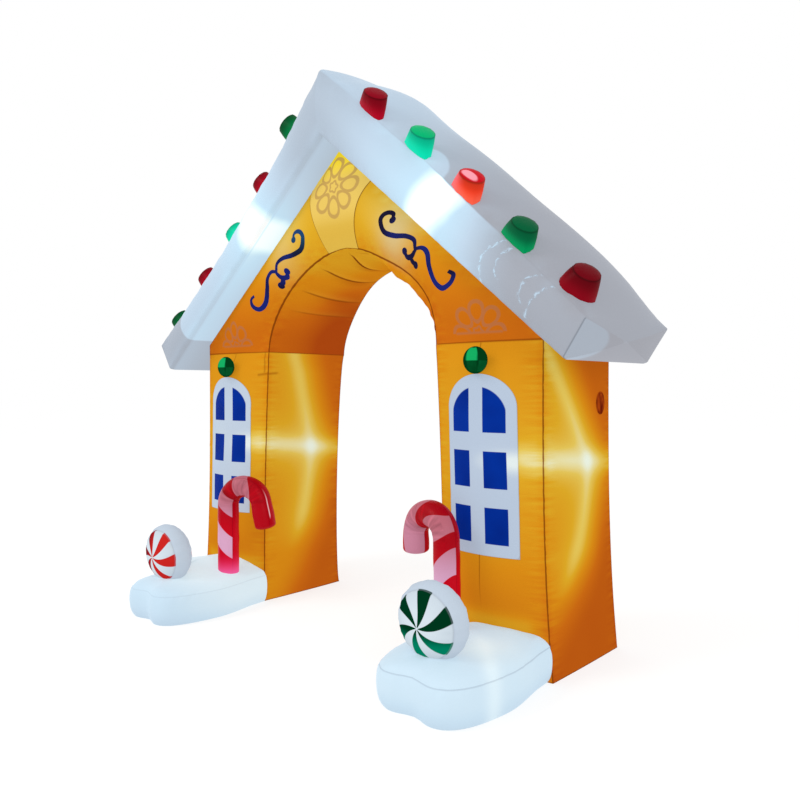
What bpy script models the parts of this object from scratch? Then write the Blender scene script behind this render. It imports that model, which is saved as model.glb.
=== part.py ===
"""A walk-through inflatable gingerbread house arch.

Metres, +Z up. The arch stands on z = 0 with its doorway centred on x = 0. Its
front faces -Y. Every inflated piece is one filled solid with swollen panels.
"""
import math

import bmesh
import bpy
from mathutils import Matrix, Vector

TOTAL_HEIGHT = 3.05
WALL_FRONT = 0.008           # y of the seams around the front panels
WALL_DEPTH = 0.648
WALL_BACK = WALL_FRONT + WALL_DEPTH
SEAM_HEIGHT = 1.548          # level seam between the pillars and the gable
SEAM_GAP = 0.0003            # clearance between pieces sewn to one another

DOOR_HALF = 0.657            # half the doorway's width at the seam
DOOR_SPREAD = 0.05           # the pillars' inner edges move apart to the floor
ARCH_RISE = 0.56
ARCH_ROUND = 1.7             # exponent of the arch's curve; 2 would be an ellipse
WALL_HALF = 1.275            # half the width over both pillars at the seam
PILLAR_FLARE = 0.055         # the pillars' outer edges flare to the floor

FRONT_CROWN = 0.08           # how far a front panel swells between its seams
BACK_CROWN = 0.06
SIDE_CROWN = 0.03
LINING_CROWN = 0.03
SEAM_SHARE = 0.35            # part of the crown that is left at the level seam
FLOOR_SHARE = 0.12           # and at the floor
CROWN_RISE_BOTTOM = 0.42     # height in which a crown is full above the floor
CROWN_RISE_TOP = 0.13        # and below the level seam

ROOF_HALF = 1.578            # half width at the eaves' outer tips
ROOF_TIP = 1.622             # their height
EAVE_HALF = 1.468            # half width at the eaves' lower corners
EAVE_HEIGHT = 1.45
SOFFIT_APEX = 2.685          # height of the roof's underside on the centre line
ROOF_OVERHANG = 0.178        # in front of the wall's seams
ROOF_BACK_LAP = 0.02
ROOF_FRONT = WALL_FRONT - ROOF_OVERHANG
ROOF_BACK = WALL_BACK + ROOF_BACK_LAP
ROOF_SEAM_DRAW = 0.06        # how far its long top seams are drawn in mid-slope
ROOF_CROWN_RIDGE = 0.045     # swell of the roof's top at the ridge
ROOF_CROWN_SLOPE = 0.11      # just below the ridge
ROOF_CROWN_EAVE = 0.15       # and what it grows to towards the eaves
ROOF_CROWN_END = 14          # how suddenly that swell dies away at the eaves
FASCIA_CROWN = 0.04
EAVE_CROWN = 0.03

DROP_BASE = 0.073            # radii of a gumdrop, and its height
DROP_TOP = 0.064
DROP_HEIGHT = 0.10
DROP_DOME = 0.012
DROP_ROOT = 0.06             # length that is sunk and cut by the roof
# Setback of the first and the last gumdrop from the roof's front top seam.
DROP_SETBACK = {"left": (0.105, 0.155), "right": (0.024, 0.024)}
DROP_LEAN = math.radians(21) # forward from the slope's upright
DROP_SPAN = {"left": (0.195, 0.915), "right": (0.2, 0.955)}   # along each slope
DROP_COUNT = 5

WINDOW_X = {"left": -0.972, "right": 0.972}   # at the head
WINDOW_DRIFT = 0.018         # further out at the sill, as the pillar is
WINDOW_HALF = 0.196
WINDOW_FOOT = 0.547
WINDOW_SHOULDER = 1.24
WINDOW_TOP = 1.397
CLOTH = 0.0024               # how far a flat sewn-on piece stands off the wall
OUTLINE_REACH = 0.2          # how far an outline that trims one reaches each way

KEYSTONE_TOP_HALF = 0.255
KEYSTONE_FOOT_HALF = 0.118
KEYSTONE_WAIST = 0.01        # how far its sides are drawn in
KEYSTONE_PAST = 0.05         # how far its outline runs on below the arch's edge

BALL_RADIUS = 0.064
BALL_DEPTH = 0.052           # its radius across the wall
BALL_X = {"left": -0.937, "right": 0.982}
BALL_Z = 1.46
BALL_OUT = 0.036             # its centre in front of the wall panel
BALL_SEAT = 0.05             # how far below its centre that panel is measured
BALL_POLE = 0.06             # angle of the small flat ends of balls and sweets

# The x of each snow base's middle, its half width, and that against the wall.
BASES = {"left": (-0.9, 0.29, 0.22), "right": (1.083, 0.298, 0.245)}
BASE_LENGTH = 0.738          # from the wall's seam to the lobes' fronts
BASE_SKEW = 0.015            # how much further forward the lobe on the +X side is
BASE_SIDE = 0.165            # height of its side, up to the seam
BASE_TOP = 0.215
BASE_SQUARE = 0.5            # exponent of the outline; 1 would be round
BASE_NOTCH = 0.035           # between the lobes
BASE_NOTCH_WIDTH = 0.28      # its half width, as a share of the base's
BASE_WIDENING = 0.55         # share of its length in which it grows to full width

CANE_RADIUS = 0.06
CANE_BEND = 0.115            # radius of the hook's centre line
CANE_TOP = 0.80
CANE_FOOT = 0.12
CANE_OUT = 0.213             # from the wall's seams to the canes
# Each cane's x, the heading of its hook, its lean, its hook's sweep and the
# straight length after the hook.
CANES = {
    "left": (-0.785, math.radians(21), 0.0, math.radians(168), 0.13),
    "right": (0.905, math.radians(168), math.radians(1.5), math.pi, 0.07),
}

MINT_RADIUS = 0.17
MINT_HALF_THICK = 0.11
MINT_X = {"left": -0.945, "right": 1.06}
MINT_OUT = 0.524             # from the wall's seams to their middles
MINT_SINK = 0.033            # how far a peppermint settles into its base
MINT_TILT = math.radians(5)

PATCH_RADIUS = 0.057
PATCH_BACK = 0.531           # from the front seams to its middle
PATCH_Z = 1.255

PAINTS = {
    "gingerbread": ((0.83, 0.40, 0.045), 0.55),
    "keystone_yellow": ((0.90, 0.66, 0.22), 0.55),
    "snow_white": ((0.86, 0.90, 0.93), 0.5),
    "gumdrop_red": ((0.52, 0.01, 0.02), 0.45),
    "gumdrop_green": ((0.0, 0.30, 0.11), 0.45),
    "window_white": ((0.88, 0.90, 0.92), 0.6),
    "ball_green": ((0.0, 0.24, 0.07), 0.5),
    "cane_red": ((0.70, 0.02, 0.06), 0.45),
    "mint_white": ((0.84, 0.87, 0.90), 0.5),
    "patch_brown": ((0.30, 0.05, 0.03), 0.6),
}


# --------------------------------------------------------------- helpers
def clear_scene():
    for item in list(bpy.data.objects):
        bpy.data.objects.remove(item, do_unlink=True)


def paint(name):
    """One Principled material for each colour of cloth."""
    found = bpy.data.materials.get(name)
    if found:
        return found
    colour, roughness = PAINTS[name]
    material = bpy.data.materials.new(name)
    material.use_nodes = True
    shader = material.node_tree.nodes["Principled BSDF"]
    shader.inputs["Base Color"].default_value = (*colour, 1.0)
    shader.inputs["Roughness"].default_value = roughness
    shader.inputs["Metallic"].default_value = 0.0
    return material


def finish(name, mesh, colour):
    """Turns a bmesh into a named object that is smooth between its seams."""
    bmesh.ops.triangulate(mesh, faces=mesh.faces)
    bmesh.ops.recalc_face_normals(mesh, faces=mesh.faces)
    data = bpy.data.meshes.new(name)
    mesh.to_mesh(data)
    mesh.free()
    data.shade_smooth()
    data.set_sharp_from_angle(angle=math.radians(40))
    data.materials.append(paint(colour))
    thing = bpy.data.objects.new(name, data)
    bpy.context.scene.collection.objects.link(thing)
    return thing


def loft(name, rings, colour):
    """Skins a row of equal rings and closes both ends."""
    mesh = bmesh.new()
    rows = [[mesh.verts.new(point) for point in ring] for ring in rings]
    for near, far in zip(rows, rows[1:]):
        for i, corner in enumerate(near):
            j = (i + 1) % len(near)
            mesh.faces.new((corner, near[j], far[j], far[i]))
    mesh.faces.new(rows[0])
    mesh.faces.new(rows[-1])
    return finish(name, mesh, colour)


def cut_by(thing, neighbours, gap=SEAM_GAP):
    """Cuts a piece to the shape of its neighbours, a hair clear of them."""
    for neighbour in neighbours:
        cutter = bpy.data.objects.new(f"cut_{thing.name}", neighbour.data.copy())
        bpy.context.scene.collection.objects.link(cutter)
        grow = cutter.modifiers.new("grow", "DISPLACE")
        grow.mid_level = 0.0
        grow.strength = gap
        cutter.hide_render = True
        cutter.display_type = "WIRE"
        cut = thing.modifiers.new("cut", "BOOLEAN")
        cut.operation = "DIFFERENCE"
        cut.solver = "EXACT"
        cut.object = cutter


def steps(count):
    """Even places from 0 to 1, both ends included."""
    return [i / count for i in range(count + 1)]


def blend(a, b, share):
    return a + (b - a) * share


def smooth(value):
    """A soft step from 0 to 1."""
    value = min(max(value, 0.0), 1.0)
    return value * value * (3.0 - 2.0 * value)


def swell(place):
    """The rise of a panel between two seams, at 0 and 1."""
    return 4.0 * place * (1.0 - place)


def shrunk(ring, share, push):
    """A ring drawn towards its own middle and pushed along a direction."""
    middle = sum((Vector(p) for p in ring), Vector()) / len(ring)
    return [middle.lerp(Vector(p), share) + push for p in ring]


# --------------------------------------------------------------- the wall
def inner_edge(z):
    return DOOR_HALF + DOOR_SPREAD * (1.0 - (z / SEAM_HEIGHT) ** 2)


def outer_edge(z):
    return WALL_HALF + PILLAR_FLARE * (1.0 - z / SEAM_HEIGHT) ** 3


def pillar_share(z):
    """Part of the full crown that a pillar has at a height."""
    foot = blend(FLOOR_SHARE, 1.0, smooth(z / CROWN_RISE_BOTTOM))
    head = blend(SEAM_SHARE, 1.0, smooth((SEAM_HEIGHT - z) / CROWN_RISE_TOP))
    return foot * head


def pillar_front(x, z):
    """y of a pillar's front panel."""
    place = (abs(x) - inner_edge(z)) / (outer_edge(z) - inner_edge(z))
    place = min(max(place, 0.0), 1.0)
    return WALL_FRONT - FRONT_CROWN * pillar_share(z) * swell(place)


def pillar_ring(z, across=10, along=8):
    """Section of a pillar at a height, all four panels swollen."""
    near, far, share = inner_edge(z), outer_edge(z), pillar_share(z)
    front, outside, back, inside = [], [], [], []
    for place in steps(across)[:-1]:
        x = blend(near, far, place)
        front.append((x, WALL_FRONT - FRONT_CROWN * share * swell(place), z))
        x = blend(far, near, place)
        back.append((x, WALL_BACK + BACK_CROWN * share * swell(place), z))
    for place in steps(along)[:-1]:
        y = blend(WALL_FRONT, WALL_BACK, place)
        outside.append((far + SIDE_CROWN * share * swell(place), y, z))
        y = blend(WALL_BACK, WALL_FRONT, place)
        inside.append((near - LINING_CROWN * share * swell(place), y, z))
    return front + outside + back + inside


def make_pillar(name, side):
    heights = [0.0, 0.09, 0.2, 0.31, 0.42, 0.7, 0.98, 1.26, 1.418, 1.462, 1.506]
    rings = [pillar_ring(z) for z in heights + [SEAM_HEIGHT]]
    rings = [[(side * x, y, z) for x, y, z in ring] for ring in rings]
    return loft(name, rings, "gingerbread")


def arch_radius(angle):
    """Distance of the arch's edge from the middle of the level seam."""
    wide = (abs(math.cos(angle)) / DOOR_HALF) ** ARCH_ROUND
    high = (abs(math.sin(angle)) / ARCH_RISE) ** ARCH_ROUND
    return (wide + high) ** (-1.0 / ARCH_ROUND)


def soffit_height(x):
    return blend(SOFFIT_APEX, EAVE_HEIGHT, abs(x) / EAVE_HALF)


def wall_radius(angle):
    """Distance of the gable's outer edge from the same middle."""
    c, s = abs(math.cos(angle)), math.sin(angle)
    apex = SOFFIT_APEX - 2.0 * SEAM_GAP - SEAM_HEIGHT
    slope = (SOFFIT_APEX - EAVE_HEIGHT) / EAVE_HALF
    under_roof = apex / (s + slope * c)
    return min(under_roof, WALL_HALF / c) if c > 1e-6 else under_roof


def gable_corner():
    """Angle of the corner where the wall's side meets the roof."""
    return math.atan2(soffit_height(WALL_HALF) - 2.0 * SEAM_GAP - SEAM_HEIGHT, WALL_HALF)


def gable_share(angle):
    """Part of the full crown that the gable has along a line from its middle."""
    return blend(SEAM_SHARE, 1.0, smooth(math.sin(angle) / 0.3))


def gable_ring(angle, across=8, top=4, lining=6):
    """Section of the gable along a line from the middle of the level seam."""
    near, far, share = arch_radius(angle), wall_radius(angle), gable_share(angle)
    c, s = math.cos(angle), math.sin(angle)
    rise = min(angle, math.pi - angle) / gable_corner()
    side_crown = SIDE_CROWN * share * max(1.0 - rise, 0.0)
    ring = []
    for place in steps(across)[:-1]:
        r = blend(near, far, place)
        ring.append((r, WALL_FRONT - FRONT_CROWN * share * swell(place)))
    for place in steps(top)[:-1]:
        y = blend(WALL_FRONT, WALL_BACK, place)
        ring.append((far + side_crown * swell(place), y))
    for place in steps(across)[:-1]:
        r = blend(far, near, place)
        ring.append((r, WALL_BACK + BACK_CROWN * share * swell(place)))
    for place in steps(lining)[:-1]:
        bulge = LINING_CROWN * share * swell(place)
        ring.append((near - bulge, blend(WALL_BACK, WALL_FRONT, place)))
    return [(r * c, y, SEAM_HEIGHT + SEAM_GAP + r * s) for r, y in ring]


def make_gable():
    corner = gable_corner()
    half = [0.0, corner * 0.5, corner]
    half += [blend(corner, math.pi / 2, place) for place in steps(12)[1:]]
    angles = half + [math.pi - angle for angle in reversed(half[:-1])]
    return loft("gable", [gable_ring(angle) for angle in angles], "gingerbread")


# --------------------------------------------------------------- the roof
def roof_crown(along):
    """Swell of the roof's top at a share of the way from ridge to eave."""
    slope = blend(ROOF_CROWN_SLOPE, ROOF_CROWN_EAVE, along)
    full = blend(ROOF_CROWN_RIDGE, slope, smooth(along / 0.16))
    return full * (1.0 - along ** ROOF_CROWN_END)


def slope_up():
    """The direction that stands upright on the right slope's top."""
    run = Vector((ROOF_HALF, 0.0, ROOF_TIP - TOTAL_HEIGHT)).normalized()
    return Vector((-run.z, 0.0, run.x))


def roof_seams(along):
    """y of the roof's front and back top seams."""
    drawn = ROOF_SEAM_DRAW * swell(along)
    return ROOF_FRONT + drawn, ROOF_BACK - drawn


def roof_top(along, place):
    """A point of the right slope's top, from its front seam to its back one."""
    x = ROOF_HALF * along
    y = blend(*roof_seams(along), place)
    edge = Vector((x, y, blend(TOTAL_HEIGHT, ROOF_TIP, along)))
    up = Vector((0.0, 0.0, 1.0)).lerp(slope_up(), smooth(along / 0.2)).normalized()
    return edge + up * roof_crown(along) * swell(place)


def roof_ring(along, across=10, thick=4):
    """Section of the right slope, from front to back, at a share of its run."""
    under = Vector((EAVE_HALF * along, 0.0, blend(SOFFIT_APEX, EAVE_HEIGHT, along)))
    over = Vector((ROOF_HALF * along, 0.0, blend(TOTAL_HEIGHT, ROOF_TIP, along)))
    front, back = roof_seams(along)
    share = 1.0 - along ** ROOF_CROWN_END
    ring = []
    for place in steps(thick)[:-1]:
        point = under.lerp(over, place)
        y = blend(ROOF_FRONT, front, place) - FASCIA_CROWN * share * swell(place)
        ring.append((point.x, y, point.z))
    for place in steps(across)[:-1]:
        ring.append(tuple(roof_top(along, place)))
    for place in steps(thick)[:-1]:
        point = over.lerp(under, place)
        y = blend(back, ROOF_BACK, place) + EAVE_CROWN * share * swell(place)
        ring.append((point.x, y, point.z))
    for y in (ROOF_BACK, WALL_BACK, WALL_BACK / 2, WALL_FRONT):
        ring.append((under.x, y, under.z))
    return ring


def eave_cap(ring):
    """Rings that close an eave with a swollen end panel."""
    run = Vector((ROOF_HALF - EAVE_HALF, 0.0, ROOF_TIP - EAVE_HEIGHT)).normalized()
    out = Vector((run.z, 0.0, -run.x))
    return [shrunk(ring, share, out * EAVE_CROWN * (1.0 - share ** 2))
            for share in (0.7, 0.35)]


def make_roof():
    places = [0.0, 0.05, 0.12, 0.24, 0.36, 0.48, 0.6, 0.72, 0.82, 0.9, 0.95, 0.98, 1.0]
    right = [roof_ring(place) for place in places]
    right += eave_cap(right[-1])
    left = [[(-p[0], p[1], p[2]) for p in ring] for ring in reversed(right[1:])]
    return loft("snow_roof", left + right, "snow_white")


def make_gumdrop(name, side, along, setback, colour, roof):
    """A candy drop that stands on the roof's front top edge and leans forward."""
    seat = roof_top(along, setback / (ROOF_BACK - ROOF_FRONT))
    up = slope_up()
    axis = up * math.cos(DROP_LEAN) + Vector((0.0, -1.0, 0.0)) * math.sin(DROP_LEAN)
    turn = Vector((0.0, 0.0, 1.0)).rotation_difference(axis).to_matrix().to_4x4()
    place = Matrix.Translation(seat) @ turn
    flip = Matrix.Diagonal((side, 1.0, 1.0, 1.0))
    profile = [(DROP_BASE, -DROP_ROOT), (DROP_BASE, 0.0), (DROP_TOP, DROP_HEIGHT)]
    profile += [(DROP_TOP * 0.72, DROP_HEIGHT + DROP_DOME * 0.7)]
    profile += [(DROP_TOP * 0.3, DROP_HEIGHT + DROP_DOME)]
    rings = []
    for radius, height in profile:
        ring = []
        for turn_share in steps(16)[:-1]:
            a = 2.0 * math.pi * turn_share
            spot = Vector((radius * math.cos(a), radius * math.sin(a), height))
            ring.append(flip @ place @ spot)
        rings.append(ring)
    drop = loft(name, rings, colour)
    cut_by(drop, [roof])
    return drop


def make_gumdrops(roof):
    colours = {
        1: ("gumdrop_red", "gumdrop_green"),
        -1: ("gumdrop_green", "gumdrop_red"),
    }
    for side, label in ((1, "right"), (-1, "left")):
        for i in range(DROP_COUNT):
            along = blend(*DROP_SPAN[label], i / (DROP_COUNT - 1))
            setback = blend(*DROP_SETBACK[label], i / (DROP_COUNT - 1))
            name, colour = f"gumdrop_{label}_{i + 1}", colours[side][i % 2]
            make_gumdrop(name, side, along, setback, colour, roof)


# --------------------------------------------------------------- flat sewn pieces
def sewn_on(name, body, outline, colour):
    """A thin piece of cloth that follows a body's panel within an outline."""
    data = body.data.copy()
    data.materials.clear()
    data.materials.append(paint(colour))
    piece = bpy.data.objects.new(name, data)
    bpy.context.scene.collection.objects.link(piece)
    grow = piece.modifiers.new("grow", "DISPLACE")
    grow.mid_level = 0.0
    grow.strength = CLOTH
    outline.hide_render = True
    outline.display_type = "WIRE"
    trim = piece.modifiers.new("trim", "BOOLEAN")
    trim.operation = "INTERSECT"
    trim.solver = "EXACT"
    trim.use_self = True
    trim.object = outline
    cut_by(piece, [body])
    return piece


def prism(name, points, middle):
    """An upright outline of (x, z) points, carried along y to both sides."""
    ends = (middle - OUTLINE_REACH, middle + OUTLINE_REACH)
    return loft(name, [[(x, y, z) for x, z in points] for y in ends], "window_white")


def make_window(label, pillar):
    """A white window with a level sill and an arched head."""
    middle = WINDOW_X[label]
    sill = middle + math.copysign(WINDOW_DRIFT, middle)
    points = [(sill - WINDOW_HALF, WINDOW_FOOT), (sill + WINDOW_HALF, WINDOW_FOOT)]
    for share in steps(16):
        a = math.pi * share
        rise = (WINDOW_TOP - WINDOW_SHOULDER) * math.sin(a)
        points.append((middle + WINDOW_HALF * math.cos(a), WINDOW_SHOULDER + rise))
    outline = prism(f"outline_{label}", points, WALL_FRONT)
    return sewn_on(f"window_{label}", pillar, outline, "window_white")


def make_keystone(gable):
    """The pale panel between the arch's crown and the roof's peak."""
    foot = SEAM_HEIGHT + ARCH_RISE - KEYSTONE_PAST
    top = soffit_height(KEYSTONE_TOP_HALF)
    right = []
    for share in steps(6):
        half = blend(KEYSTONE_FOOT_HALF, KEYSTONE_TOP_HALF, share)
        right.append((half - KEYSTONE_WAIST * swell(share), blend(foot, top, share)))
    points = right + [(0.0, SOFFIT_APEX)] + [(-x, z) for x, z in reversed(right)]
    points = [(x, z - 2.0 * SEAM_GAP) for x, z in points]
    outline = prism("outline_keystone", points, WALL_FRONT - OUTLINE_REACH + SEAM_GAP)
    return sewn_on("keystone_panel", gable, outline, "keystone_yellow")


def make_patch(pillar):
    """A round reinforcing patch on the right pillar's outer side."""
    rings = []
    for x in (WALL_HALF - OUTLINE_REACH, WALL_HALF + OUTLINE_REACH):
        ring = []
        for share in steps(20)[:-1]:
            a = 2.0 * math.pi * share
            y, z = PATCH_RADIUS * math.cos(a), PATCH_RADIUS * math.sin(a)
            ring.append((x, WALL_FRONT + PATCH_BACK + y, PATCH_Z + z))
        rings.append(ring)
    outline = loft("outline_patch", rings, "patch_brown")
    return sewn_on("side_patch", pillar, outline, "patch_brown")


# --------------------------------------------------------------- balls, bases, sweets
def ball_rings(centre, across, tall, out, turns=16, bands=10):
    """Rings of a rounded body, its axis along y, with small flat ends."""
    rings = []
    for band in steps(bands):
        a = blend(BALL_POLE, math.pi - BALL_POLE, band)
        ring = []
        for share in steps(turns)[:-1]:
            b = 2.0 * math.pi * share
            spot = Vector((across * math.sin(a) * math.cos(b), -out * math.cos(a),
                           tall * math.sin(a) * math.sin(b)))
            ring.append(Vector(centre) + spot)
        rings.append(ring)
    return rings


def make_ball(label, neighbours):
    x = BALL_X[label]
    y = pillar_front(x, BALL_Z - BALL_SEAT) - BALL_OUT
    rings = ball_rings((x, y, BALL_Z), BALL_RADIUS, BALL_RADIUS, BALL_DEPTH)
    ball = loft(f"ball_{label}", rings, "ball_green")
    cut_by(ball, neighbours)
    return ball


def base_outline(label, grow):
    """A snow base from above: two lobes in front, a waist, a straight back."""
    middle, front_half, back_half = BASES[label]
    points = []
    for share in steps(32):
        a = math.pi * share
        c, s = math.cos(a), math.sin(a)
        x = math.copysign(abs(c) ** BASE_SQUARE, c) if abs(c) > 1e-9 else 0.0
        y = s ** BASE_SQUARE if s > 1e-9 else 0.0
        half = blend(back_half, front_half, smooth(y / BASE_WIDENING)) + grow
        front = BASE_LENGTH + grow - BASE_SKEW * x
        front -= BASE_NOTCH * math.exp(-(x / BASE_NOTCH_WIDTH) ** 2)
        points.append((middle - x * half, WALL_FRONT - y * front))
    return points


def make_base(label, pillar):
    levels = [(-0.026, 0.0), (-0.006, 0.04), (0.0, 0.09), (-0.003, 0.135)]
    levels += [(-0.012, BASE_SIDE), (-0.034, 0.188), (-0.08, 0.205), (-0.16, BASE_TOP)]
    rings = [[(x, y, z) for x, y in base_outline(label, grow)] for grow, z in levels]
    base = loft(f"snow_base_{label}", rings, "snow_white")
    cut_by(base, [pillar])
    return base


def cane_path(sweep, leg):
    """Places along a cane in its own plane: (out, up, heading)."""
    bend_up = CANE_TOP - CANE_RADIUS - CANE_BEND
    places = [(0.0, blend(CANE_FOOT, bend_up, share), 0.0) for share in steps(4)[:-1]]
    for share in steps(10):
        a = sweep * share
        out = CANE_BEND * (1.0 - math.cos(a))
        places.append((out, bend_up + CANE_BEND * math.sin(a), a))
    out, up, heading = places[-1]
    places.append((out + leg * math.sin(heading), up + leg * math.cos(heading), heading))
    return places


def cane_ring(place, radius, slide=0.0):
    out, up, heading = place
    ahead = Vector((math.sin(heading), 0.0, math.cos(heading)))
    aside = Vector((math.cos(heading), 0.0, -math.sin(heading)))
    ring = []
    for share in steps(12)[:-1]:
        a = 2.0 * math.pi * share
        round_part = aside * math.cos(a) + Vector((0.0, 1.0, 0.0)) * math.sin(a)
        ring.append(Vector((out, 0.0, up)) + ahead * slide + round_part * radius)
    return ring


def make_cane(label, base):
    x, heading, lean, sweep, leg = CANES[label]
    path = cane_path(sweep, leg)
    rings = [cane_ring(place, CANE_RADIUS) for place in path]
    rings.append(cane_ring(path[-1], CANE_RADIUS * 0.8, CANE_RADIUS * 0.25))
    rings.append(cane_ring(path[-1], CANE_RADIUS * 0.35, CANE_RADIUS * 0.38))
    stand = Matrix.Translation((x, WALL_FRONT - CANE_OUT, 0.0))
    stand = stand @ Matrix.Rotation(-lean, 4, "Y")
    stand = stand @ Matrix.Rotation(heading, 4, "Z")
    rings = [[stand @ Vector(point) for point in ring] for ring in rings]
    cane = loft(f"cane_{label}", rings, "cane_red")
    cut_by(cane, [base])
    return cane


def make_mint(label, base):
    z = BASE_TOP - MINT_SINK + MINT_RADIUS
    rings = ball_rings((0.0, 0.0, 0.0), MINT_RADIUS, MINT_RADIUS, MINT_HALF_THICK,
                       turns=24, bands=12)
    stand = Matrix.Translation((MINT_X[label], WALL_FRONT - MINT_OUT, z))
    stand = stand @ Matrix.Rotation(MINT_TILT, 4, "X")
    rings = [[stand @ point for point in ring] for ring in rings]
    mint = loft(f"peppermint_{label}", rings, "mint_white")
    cut_by(mint, [base])
    return mint


def main():
    clear_scene()
    gable = make_gable()
    roof = make_roof()
    make_gumdrops(roof)
    make_keystone(gable)
    for side, label in ((-1, "left"), (1, "right")):
        pillar = make_pillar(f"pillar_{label}", side)
        window = make_window(label, pillar)
        make_ball(label, [pillar, window, gable])
        base = make_base(label, pillar)
        make_cane(label, base)
        make_mint(label, base)
    make_patch(pillar)


main()
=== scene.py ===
import math

import bmesh
import bpy
import numpy as np
from mathutils import Matrix, Vector
from mathutils.bvhtree import BVHTree


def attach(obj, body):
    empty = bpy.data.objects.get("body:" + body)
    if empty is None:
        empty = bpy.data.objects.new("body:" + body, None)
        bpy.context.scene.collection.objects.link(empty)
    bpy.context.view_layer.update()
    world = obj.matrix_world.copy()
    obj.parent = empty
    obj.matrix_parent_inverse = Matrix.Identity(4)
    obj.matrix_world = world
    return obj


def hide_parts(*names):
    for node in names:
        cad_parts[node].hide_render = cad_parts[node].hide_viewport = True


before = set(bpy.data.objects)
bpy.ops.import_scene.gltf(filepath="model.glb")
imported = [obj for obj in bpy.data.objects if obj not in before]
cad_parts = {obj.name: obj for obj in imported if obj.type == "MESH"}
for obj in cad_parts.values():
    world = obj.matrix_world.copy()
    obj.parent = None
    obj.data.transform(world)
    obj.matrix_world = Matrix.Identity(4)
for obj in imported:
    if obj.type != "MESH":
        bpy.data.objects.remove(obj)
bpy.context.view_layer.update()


# sums that the pieces share

def even(count):                       # places from 0 to 1
    return np.linspace(0.0, 1.0, count + 1)


def nearSeams(count, pull=0.75):       # the same, but closer together at both seams
    flat = even(count)
    return flat * (1.0 - pull) + (0.5 - 0.5 * np.cos(np.pi * flat)) * pull


def blend(a, b, share):
    return a + (b - a) * share


def smooth(value):
    value = np.clip(value, 0.0, 1.0)
    return value * value * (3.0 - 2.0 * value)


def swell(place):                      # how a panel rises between its two seams
    return 4.0 * place * (1.0 - place)


def toSeam(place):                     # share of the way to the nearer seam
    return np.minimum(place, 1.0 - place)


def hill(value, width):                # 1 where value is 0, dying away to both sides
    return np.exp(-(value / width) ** 2)


def fade(away, reach):                 # 1 on a seam, dying away from it
    return np.exp(-away / reach)


waves = {"count": 8, "lengths": (0.6, 2.4), "heights": (0.5, 1.0), "sum": 3.2}
gather = {"seamGap": 0.008, "cornerReach": 0.012, "cornerPasses": 6}


def ripples(run, seed, length):        # uneven waves along a seam, about -1 to 1
    dice = np.random.default_rng(seed)
    total = 0.0
    for _ in range(waves["count"]):
        long = length * dice.uniform(*waves["lengths"])
        start = dice.uniform(0.0, 2.0 * math.pi)
        high = dice.uniform(*waves["heights"])
        total = total + high * np.sin(run * 2.0 * math.pi / long + start)
    return total / waves["sum"]


def puckers(away, run, seed, length, depth, reach):
    # cloth gathered by a seam: nothing on the seam, most a finger's width from it
    start = 1.0 - fade(away, gather["seamGap"])
    return depth * fade(away, reach) * start * ripples(run, seed, length)


def softened(rows, edge):
    # closed rings of points with their corners rounded a little, where edge is small
    hold = (0.5 * hill(edge, gather["cornerReach"]))[..., None]
    for _ in range(gather["cornerPasses"]):
        middle = 0.5 * (np.roll(rows, 1, axis=1) + np.roll(rows, -1, axis=1))
        rows = rows + (middle - rows) * hold
    return rows


# from points to pieces

def dress(thing, paint, node=None, sharp=38):
    thing.data.materials.append(paint)
    thing.data.shade_smooth()
    thing.data.set_sharp_from_angle(angle=math.radians(sharp))
    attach(thing, "root")
    if node:
        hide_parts(node)
    return thing


def putIn(name, data):                 # a new object in the scene
    thing = bpy.data.objects.new(name, data)
    bpy.context.scene.collection.objects.link(thing)
    return thing


def fromMesh(name, mesh):
    data = bpy.data.meshes.new(name)
    mesh.to_mesh(data)
    mesh.free()
    return putIn(name, data)


def skin(name, rows, marks):
    # closed rings of points, skinned into one piece; marks are values the paints read
    rows = np.asarray(rows, dtype=float)
    count, width = rows.shape[:2]
    faces = []
    for i in range(count - 1):
        this, after = i * width, (i + 1) * width
        for j in range(width):
            k = (j + 1) % width
            faces.append((this + j, this + k, after + k, after + j))
    faces += [tuple(range(width)), tuple(range((count - 1) * width, count * width))]
    data = bpy.data.meshes.new(name)
    data.from_pydata(rows.reshape(-1, 3).tolist(), [], faces)
    for mark, values in marks.items():
        layer = data.attributes.new(mark, "FLOAT", "POINT")
        values = np.broadcast_to(values, (count, width))
        layer.data.foreach_set("value", np.ascontiguousarray(values, dtype=np.float32).ravel())
    mesh = bmesh.new()
    mesh.from_mesh(data)
    bmesh.ops.recalc_face_normals(mesh, faces=mesh.faces)
    mesh.to_mesh(data)
    mesh.free()
    return putIn(name, data)


class Panels:                          # panels sewn edge to edge round a swollen piece
    def __init__(self):
        self.points, self.edges, self.numbers = [], [], []

    def add(self, x, y, z, away, number):
        x, y, z, away = np.broadcast_arrays(x, y, z, away)
        self.points.append(np.stack([x, y, z], axis=-1))
        self.edges.append(away)
        self.numbers.append(np.full(away.shape, number))

    def joined(self):
        return [np.concatenate(part, axis=1) for part in (self.points, self.edges, self.numbers)]


def panelMarks(number, words):         # 1 on the panel that each word names, from number 1
    return {word: (number == place) * 1.0 for place, word in enumerate(words, 1)}


def treeOf(thing):
    return BVHTree.FromObject(thing, bpy.context.evaluated_depsgraph_get())


halves = ((-1, "left"), (1, "right"))


def nameFor(piece, label, end=""):
    return piece + label.capitalize() + end


# materials

def shade(red, green, blue):           # a colour as a screen shows it, 0 to 255
    def part(value):
        value /= 255.0
        return value / 12.92 if value <= 0.04045 else ((value + 0.055) / 1.055) ** 2.4
    return (part(red), part(green), part(blue), 1.0)


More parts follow.
